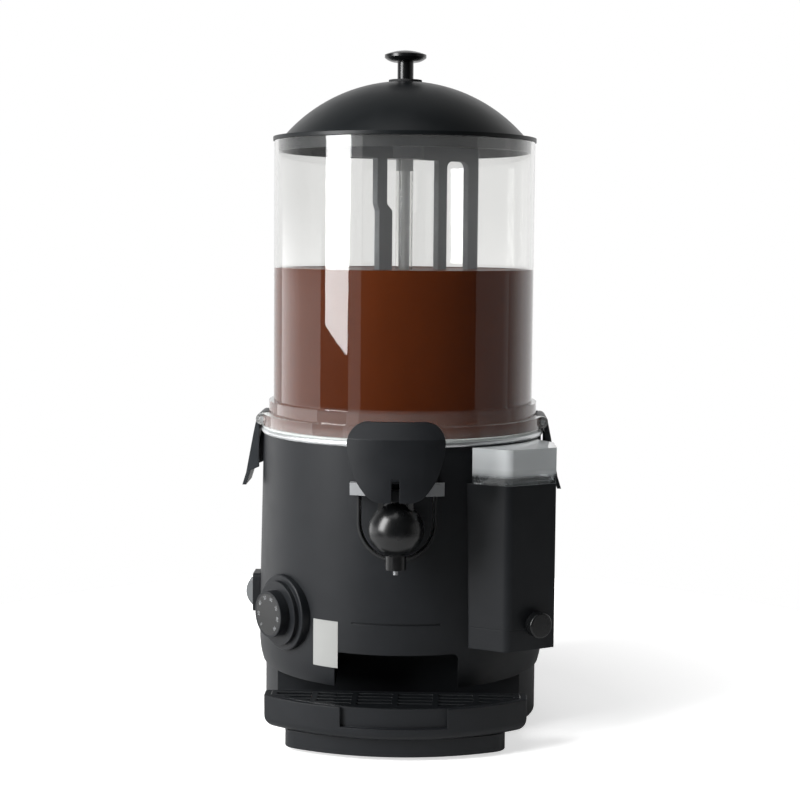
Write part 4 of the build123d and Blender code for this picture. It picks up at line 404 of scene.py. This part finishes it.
class DISPENSER_OT_drink(bpy.types.Operator):
    """Fills the bowl with hot chocolate around the riser"""

    bl_idname = "dispenser.drink"
    bl_label = "Drink"

    def execute(self, context):
        low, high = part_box("chocolate")
        top = context.scene.dispenser_sizes.fill_height
        # The drink wets the wall, from which its ring of solid keeps a small clearance
        wetting = 0.35 * MM
        filling = add(
            context, bpy.ops.mesh.primitive_cylinder_add, vertices=160,
            radius=(high.x - low.x) / 2 + wetting, depth=top - low.z,
            location=(0, AXIS_Y, (top + low.z) / 2),
        )
        pick(filling, "polygons", faces_up)
        # It creeps up the wall a little: the surface inside the edge lies lower
        for inset, drop in ((0.8 * MM, 0.5 * MM), (1.5 * MM, 0.4 * MM), (4.0 * MM, 0.2 * MM)):
            bpy.ops.mesh.inset(thickness=inset, depth=0)
            bpy.ops.transform.translate(value=(0, 0, -drop))
        bpy.ops.object.mode_set(mode="OBJECT")
        # Room for the bowl's stepped riser, wide below and slim above its step. The core that cuts it
        # reaches well past the drink at both ends
        foot_r, neck_r, step_z = 14.9 * MM, 7.9 * MM, 240.4 * MM
        foot_length, neck_length = 0.2, 0.4
        core = add(
            context, bpy.ops.mesh.primitive_cylinder_add, vertices=64,
            radius=foot_r, depth=foot_length, location=(0, AXIS_Y, step_z - foot_length / 2),
        )
        pick(core, "polygons", faces_up)
        bpy.ops.mesh.inset(thickness=foot_r - neck_r, depth=0)
        bpy.ops.mesh.extrude_region_move(TRANSFORM_OT_translate={"value": (0, 0, neck_length)})
        bpy.ops.object.mode_set(mode="OBJECT")
        cut = filling.modifiers.new("Riser", "BOOLEAN")
        cut.object = core
        cut.operation = "DIFFERENCE"
        cut.solver = "EXACT"
        make_active(context, filling)
        bpy.ops.object.modifier_apply(modifier=cut.name)
        bpy.data.objects.remove(core)
        bpy.ops.object.shade_smooth_by_angle(angle=math.radians(40))
        piece = new_piece(context, "chocolate_filling", "hot_chocolate", "bowl")
        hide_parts("chocolate")
        return {"FINISHED"}


DIAL_AZIMUTH = math.radians(-50)
DIAL_NUMBERS = ("0", "30", "40", "50", "60", "70", "80", "90")


def dial_matrix():
    """Place on the dial's face: local X to the right, Y up, Z out."""
    face = NODES["dial_face"].data
    low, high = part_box("dial_face")
    up = Vector((0, 0, 1))
    out = Vector((math.sin(DIAL_AZIMUTH), -math.cos(DIAL_AZIMUTH), 0))
    reach = max(v.co.dot(out) for v in face.vertices)
    centre = (low + high) / 2
    centre += out * (reach - centre.dot(out))
    turn = Matrix((up.cross(out), up, out)).transposed().to_4x4()
    return Matrix.Translation(centre) @ turn


class DISPENSER_OT_dial_numbers(bpy.types.Operator):
    """Prints the numbers on the dial's face"""

    bl_idname = "dispenser.dial_numbers"
    bl_label = "Dial numbers"

    def execute(self, context):
        ring_r, spread = 14.0 * MM, 270.0
        ink, lift = 0.04 * MM, 0.05 * MM
        size = context.scene.dispenser_sizes.numeral_height
        base = dial_matrix()
        prints = []
        for index, number in enumerate(DIAL_NUMBERS):
            turn = math.radians(-spread / 2 + spread * index / (len(DIAL_NUMBERS) - 1))
            text = add(context, bpy.ops.object.text_add)
            text.data.body = number
            text.data.size = size
            text.data.align_x = "CENTER"
            text.data.align_y = "CENTER"
            text.data.extrude = ink
            bpy.ops.object.convert(target="MESH")
            spot = Vector((ring_r * math.sin(turn), ring_r * math.cos(turn), lift))
            text.data.transform(base @ Matrix.Translation(spot) @ Matrix.Rotation(-turn, 4, "Z"))
            prints.append(text)
        bpy.ops.object.select_all(action="DESELECT")
        for text in prints:
            text.select_set(True)
        context.view_layer.objects.active = prints[0]
        bpy.ops.object.join()
        new_piece(context, "dial_numbers", "pad_print_ink", "dial")
        return {"FINISHED"}


class DISPENSER_OT_label(bpy.types.Operator):
    """Sticks a blank paper label on the casing, beside the dial"""

    bl_idname = "dispenser.label"
    bl_label = "Blank label"

    def execute(self, context):
        start, width = math.radians(-33.6), 24.0 * MM
        ends = (62.5 * MM, 101.5 * MM)
        glue, thickness = 0.05 * MM, 0.12 * MM
        radius = SHELL_R + glue
        axis = (0, AXIS_Y, 0)
        sheet = add(context, bpy.ops.mesh.primitive_plane_add, size=1, location=axis)
        # One edge of the plane becomes the label's left side and is spun round the casing
        pick(sheet, "vertices", lambda corner: corner.co.x > 0)
        bpy.ops.mesh.delete(type="VERT")
        bpy.ops.object.mode_set(mode="OBJECT")
        for corner, height in zip(sheet.data.vertices, ends):
            corner.co = (radius * math.sin(start), -radius * math.cos(start), height)
        bpy.ops.object.mode_set(mode="EDIT")
        bpy.ops.mesh.select_all(action="SELECT")
        bpy.ops.mesh.spin(steps=16, angle=-width / radius, center=axis, axis=(0, 0, 1))
        bpy.ops.mesh.select_all(action="SELECT")
        bpy.ops.mesh.remove_doubles(threshold=1e-6)
        bpy.ops.mesh.normals_make_consistent(inside=False)
        bpy.ops.object.mode_set(mode="OBJECT")
        solid = sheet.modifiers.new("Thickness", "SOLIDIFY")
        solid.thickness = thickness
        solid.offset = 1.0
        bpy.ops.object.modifier_apply(modifier=solid.name)
        new_piece(context, "blank_label", "label_film", "base")
        return {"FINISHED"}


class DISPENSER_OT_slot_edging(bpy.types.Operator):
    """Lines the tap's slot in the casing with a near-black rubber bead. This is painted shade: a dark
    piece that draws the shadow line round the tap's faceplate
    """

    bl_idname = "dispenser.slot_edging"
    bl_label = "Slot edging"

    def execute(self, context):
        half, round_z, bead_r = 31.7 * MM, 186.3 * MM, 1.3 * MM
        near, rises = 0.1 * MM, 8
        shell = [(math.hypot(v.co.x, v.co.y - AXIS_Y), v.co.z) for v in NODES["body_shell"].data.vertices]
        taper_z = max(z for r, z in shell if r > SHELL_R - 0.05 * MM)
        top_r = max(r for r, z in shell if z > SHELL_HIGH.z - 0.5 * MM)
        bead = add(context, bpy.ops.mesh.primitive_circle_add, vertices=64, radius=half)
        bpy.ops.object.mode_set(mode="EDIT")
        bpy.ops.transform.translate(value=(0, round_z, 0))
        # The circle's lower half is kept, and its two ends are drawn up to the casing's top
        pick(bead, "vertices", lambda corner: corner.co.y > round_z + near)
        bpy.ops.mesh.delete(type="VERT")
        pick(bead, "vertices", lambda corner: corner.co.y > round_z - near)
        rise = (SHELL_HIGH.z - bead_r - round_z) / rises
        for part in range(rises):
            bpy.ops.mesh.extrude_vertices_move(TRANSFORM_OT_translate={"value": (0, rise, 0)})
        bpy.ops.object.mode_set(mode="OBJECT")
        # The flat U is laid on the casing's tapered wall
        for corner in bead.data.vertices:
            height = corner.co.y
            up = max(0.0, (height - taper_z) / (SHELL_HIGH.z - taper_z))
            wall_r = SHELL_R + (top_r - SHELL_R) * up
            corner.co = (corner.co.x, AXIS_Y - math.sqrt(wall_r**2 - corner.co.x**2), height)
        bpy.ops.object.convert(target="CURVE")
        bead.data.bevel_depth = bead_r
        bead.data.bevel_resolution = 3
        bead.data.use_fill_caps = True
        bpy.ops.object.convert(target="MESH")
        bpy.ops.object.shade_smooth_by_angle(angle=math.radians(50))
        # The bead's near-black matt rubber is painted shade: it stands where the faceplate's edge casts
        # its shadow line
        new_piece(context, "slot_edging", "nitrile_rubber", "base")
        return {"FINISHED"}


class DISPENSER_OT_return_spring(bpy.types.Operator):
    """Winds the coil that presses the tap's piston down; in the real tap the lifted piston shortens it"""

    bl_idname = "dispenser.return_spring"
    bl_label = "Return spring"

    def execute(self, context):
        low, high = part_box("tap_spring")
        wire_r, turns = 0.45 * MM, 6
        coil_r = (high.x - low.x) / 2 - 2 * wire_r
        pitch = (high.z - low.z - 2 * wire_r) / turns
        place = ((low.x + high.x) / 2, (low.y + high.y) / 2)
        coil = add(
            context, bpy.ops.mesh.primitive_circle_add, vertices=10,
            radius=wire_r, rotation=(math.radians(90), 0, 0),
        )
        bpy.ops.object.transform_apply(location=True, rotation=True, scale=True)
        bpy.ops.object.mode_set(mode="EDIT")
        bpy.ops.transform.translate(value=(coil_r, 0, 0))
        bpy.ops.object.mode_set(mode="OBJECT")
        winding = coil.modifiers.new("Winding", "SCREW")
        winding.screw_offset = pitch
        winding.iterations = turns
        winding.steps = winding.render_steps = 28
        bpy.ops.object.modifier_apply(modifier=winding.name)
        bpy.ops.object.mode_set(mode="EDIT")
        bpy.ops.mesh.select_all(action="SELECT")
        bpy.ops.mesh.fill_holes(sides=0)
        bpy.ops.mesh.select_all(action="SELECT")
        bpy.ops.mesh.normals_make_consistent(inside=False)
        bpy.ops.object.mode_set(mode="OBJECT")
        bpy.ops.object.shade_smooth_by_angle(angle=math.radians(50))
        coil.location = (*place, low.z + wire_r)
        spring = new_piece(context, "return_spring", "polished_stainless", None)
        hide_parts("tap_spring")
        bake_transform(spring)
        return {"FINISHED"}


def white_floor(context):
    """Pale floor that melts into the white room towards its edge and keeps the shadow near the object."""
    radius, drop = 0.6, 0.2 * MM
    floor = add(
        context, bpy.ops.mesh.primitive_circle_add, vertices=96,
        radius=radius, fill_type="NGON", location=(0, 0, -drop),
    )
    floor.name = "floor"
    material, tree, output = start_material("white_sweep")
    ray = node(tree, "ShaderNodeLightPath")
    paint = node(tree, "ShaderNodeBsdfDiffuse", {"Color": linear("#F2F2F2")})
    place = node(tree, "ShaderNodeTexCoord")
    reach = node(tree, "ShaderNodeVectorMath", None, {0: place.outputs["Object"]}, operation="LENGTH")
    fade = {"From Min": 0.2, "From Max": 0.55, "To Min": 0.62, "To Max": 1.0}
    level = node(tree, "ShaderNodeMapRange", fade, {"Value": reach.outputs["Value"]})
    seen = {0: level.outputs["Result"], 1: ray.outputs["Is Camera Ray"]}
    strength = node(tree, "ShaderNodeMath", None, seen, operation="MULTIPLY")
    glow = node(tree, "ShaderNodeEmission", {"Color": WHITE}, {"Strength": strength.outputs[0]})
    both = node(tree, "ShaderNodeAddShader", None, {0: paint.outputs[0], 1: glow.outputs[0]})
    tree.links.new(both.outputs[0], output.inputs["Surface"])
    floor.data.materials.append(material)


def white_room(scene):
    """Room that is white to the eye and through the bowl. To reflections and bounced light, only the wall
    behind the object is white, and the ceiling and the room behind the camera are dim."""
    world = bpy.data.worlds.new("white_room")
    scene.world = world
    world.use_nodes = True
    tree = world.node_tree
    tree.nodes.clear()
    ray = node(tree, "ShaderNodeLightPath")
    place = node(tree, "ShaderNodeTexCoord")
    axes = node(tree, "ShaderNodeSeparateXYZ", None, {0: place.outputs["Generated"]})
    backward = {"From Min": 0.15, "From Max": 0.65, "To Min": 0.03, "To Max": 1.0}
    depth = node(tree, "ShaderNodeMapRange", backward, {"Value": axes.outputs["Y"]})
    upward = {"From Min": 0.35, "From Max": 0.7, "To Min": 1.0, "To Max": 0.35}
    ceiling = node(tree, "ShaderNodeMapRange", upward, {"Value": axes.outputs["Z"]})
    both = {0: depth.outputs["Result"], 1: ceiling.outputs["Result"]}
    wall = node(tree, "ShaderNodeMath", None, both, operation="MULTIPLY")
    through = {0: ray.outputs["Is Camera Ray"], 1: ray.outputs["Is Transmission Ray"]}
    seen = node(tree, "ShaderNodeMath", None, through, operation="MAXIMUM")
    mask = {MIX_FACTOR: seen.outputs[0], FLOAT_A: wall.outputs[0]}
    level = node(tree, "ShaderNodeMix", {FLOAT_B: 1.0}, mask, data_type="FLOAT")
    back = node(tree, "ShaderNodeBackground", {"Color": WHITE}, {"Strength": level.outputs[FLOAT_OUT]})
    end = node(tree, "ShaderNodeOutputWorld")
    tree.links.new(back.outputs[0], end.inputs["Surface"])


def soft_box(context, name, height, azimuth, elevation, distance, size, power, roll=0.0, soft=0.0):
    """Lamp that faces the object's axis at a height. Its azimuth is 0 in front and grows to the right.
    soft is the share of its own height over which its top fades out."""
    turn, rise = math.radians(azimuth), math.radians(elevation)
    level = math.cos(rise)
    offset = Vector((math.sin(turn) * level, -math.cos(turn) * level, math.sin(rise))) * distance
    data = bpy.data.lights.new(name, "AREA")
    data.shape = "RECTANGLE"
    data.size, data.size_y = size
    data.energy = power
    lamp = bpy.data.objects.new(name, data)
    context.scene.collection.objects.link(lamp)
    lamp.location = Vector((0, AXIS_Y, height)) + offset
    facing = (-offset).to_track_quat("-Z", "Y") @ Quaternion((0, 0, 1), math.radians(roll))
    lamp.rotation_euler = facing.to_euler()
    if soft:
        data.use_nodes = True
        tree = data.node_tree
        tree.nodes.clear()
        place = node(tree, "ShaderNodeNewGeometry")
        axes = node(tree, "ShaderNodeSeparateXYZ", None, {0: place.outputs["Parametric"]})
        fade = {"From Min": 1.0, "From Max": 1.0 - soft}
        up = {"Value": axes.outputs["Y"]}
        top = node(tree, "ShaderNodeMapRange", fade, up, interpolation_type="SMOOTHSTEP")
        glow = node(tree, "ShaderNodeEmission", {"Color": WHITE}, {"Strength": top.outputs["Result"]})
        end = node(tree, "ShaderNodeOutputLight")
        tree.links.new(glow.outputs[0], end.inputs["Surface"])
    return lamp


def lamps(context):
    """Soft boxes round the object."""
    # Strip to the left: the bright bar in the bowl
    soft_box(
        context, "left_strip", height=0.3, azimuth=-55, elevation=21.3, distance=1.7,
        size=(0.72, 1.5), power=48.0, roll=-5.0,
    )
    # Thin veil beside that bar
    soft_box(
        context, "strip_edge", height=0.3, azimuth=-39.5, elevation=5, distance=1.7,
        size=(0.33, 2.4), power=2.0,
    )
    # Pale wall: the sheen along the casing's left side
    soft_box(
        context, "left_wall", height=0.1, azimuth=-102, elevation=0, distance=2.0,
        size=(2.2, 0.85), power=9.0, soft=0.3,
    )
    # Its weak counterpart on the right, which shows in reflections only
    right_wall = soft_box(
        context, "right_wall", height=0.2, azimuth=85, elevation=0, distance=2.0,
        size=(1.4, 1.6), power=2.2,
    )
    right_wall.visible_diffuse = False
    # Fill from above: the lid's top and the tray
    soft_box(
        context, "top_box", height=0.3, azimuth=-20, elevation=68, distance=1.8,
        size=(1.0, 1.0), power=5.0,
    )


def camera(scene):
    """Eye of the photograph: a little above the counter, to the right and tilted down."""
    data = bpy.data.cameras.new("camera")
    data.lens = 73.25
    data.sensor_width = 36.0
    data.shift_x = -0.0037
    data.shift_y = -0.0416
    made = bpy.data.objects.new("camera", data)
    scene.collection.objects.link(made)
    turn, tilt, roll = math.radians(1.75), math.radians(4.5), math.radians(0.5)
    distance, eye_height = 1.436, 0.417
    made.location = (distance * math.sin(turn), AXIS_Y - distance * math.cos(turn), eye_height)
    aim = Matrix.Rotation(turn, 4, "Z") @ Matrix.Rotation(math.radians(90) - tilt, 4, "X")
    made.rotation_euler = (aim @ Matrix.Rotation(roll, 4, "Z")).to_euler()
    scene.camera = made


class DISPENSER_OT_stage(bpy.types.Operator):
    """Sets up the floor, the white room, the soft boxes and the camera"""

    bl_idname = "dispenser.stage"
    bl_label = "Stage"

    def execute(self, context):
        context.scene.view_settings.view_transform = "Standard"
        white_floor(context)
        white_room(context.scene)
        lamps(context)
        camera(context.scene)
        return {"FINISHED"}


class DISPENSER_PT_panel(bpy.types.Panel):
    """Lists the colours, the sizes and the pieces in the sidebar"""

    bl_idname = "DISPENSER_PT_panel"
    bl_label = "Hot chocolate dispenser"
    bl_space_type = "VIEW_3D"
    bl_region_type = "UI"
    bl_category = "Dispenser"

    def draw(self, context):
        for group in (context.scene.dispenser_colours, context.scene.dispenser_sizes):
            for name in group.__annotations__:
                self.layout.prop(group, name)
        for operator in OPERATORS:
            self.layout.operator(operator.bl_idname)


OPERATORS = (
    DISPENSER_OT_finishes,
    DISPENSER_OT_drink,
    DISPENSER_OT_dial_numbers,
    DISPENSER_OT_label,
    DISPENSER_OT_slot_edging,
    DISPENSER_OT_return_spring,
    DISPENSER_OT_stage,
)
CLASSES = (DispenserColours, DispenserSizes, *OPERATORS, DISPENSER_PT_panel)


def register():
    for cls in CLASSES:
        bpy.utils.register_class(cls)
    bpy.types.Scene.dispenser_colours = bpy.props.PointerProperty(type=DispenserColours)
    bpy.types.Scene.dispenser_sizes = bpy.props.PointerProperty(type=DispenserSizes)


def unregister():
    del bpy.types.Scene.dispenser_sizes
    del bpy.types.Scene.dispenser_colours
    for cls in reversed(CLASSES):
        bpy.utils.unregister_class(cls)


def main():
    register()
    bpy.ops.dispenser.finishes()
    bpy.ops.dispenser.drink()
    bpy.ops.dispenser.dial_numbers()
    bpy.ops.dispenser.label()
    bpy.ops.dispenser.slot_edging()
    bpy.ops.dispenser.return_spring()
    bpy.ops.dispenser.stage()


if __name__ == "__main__":
    main()
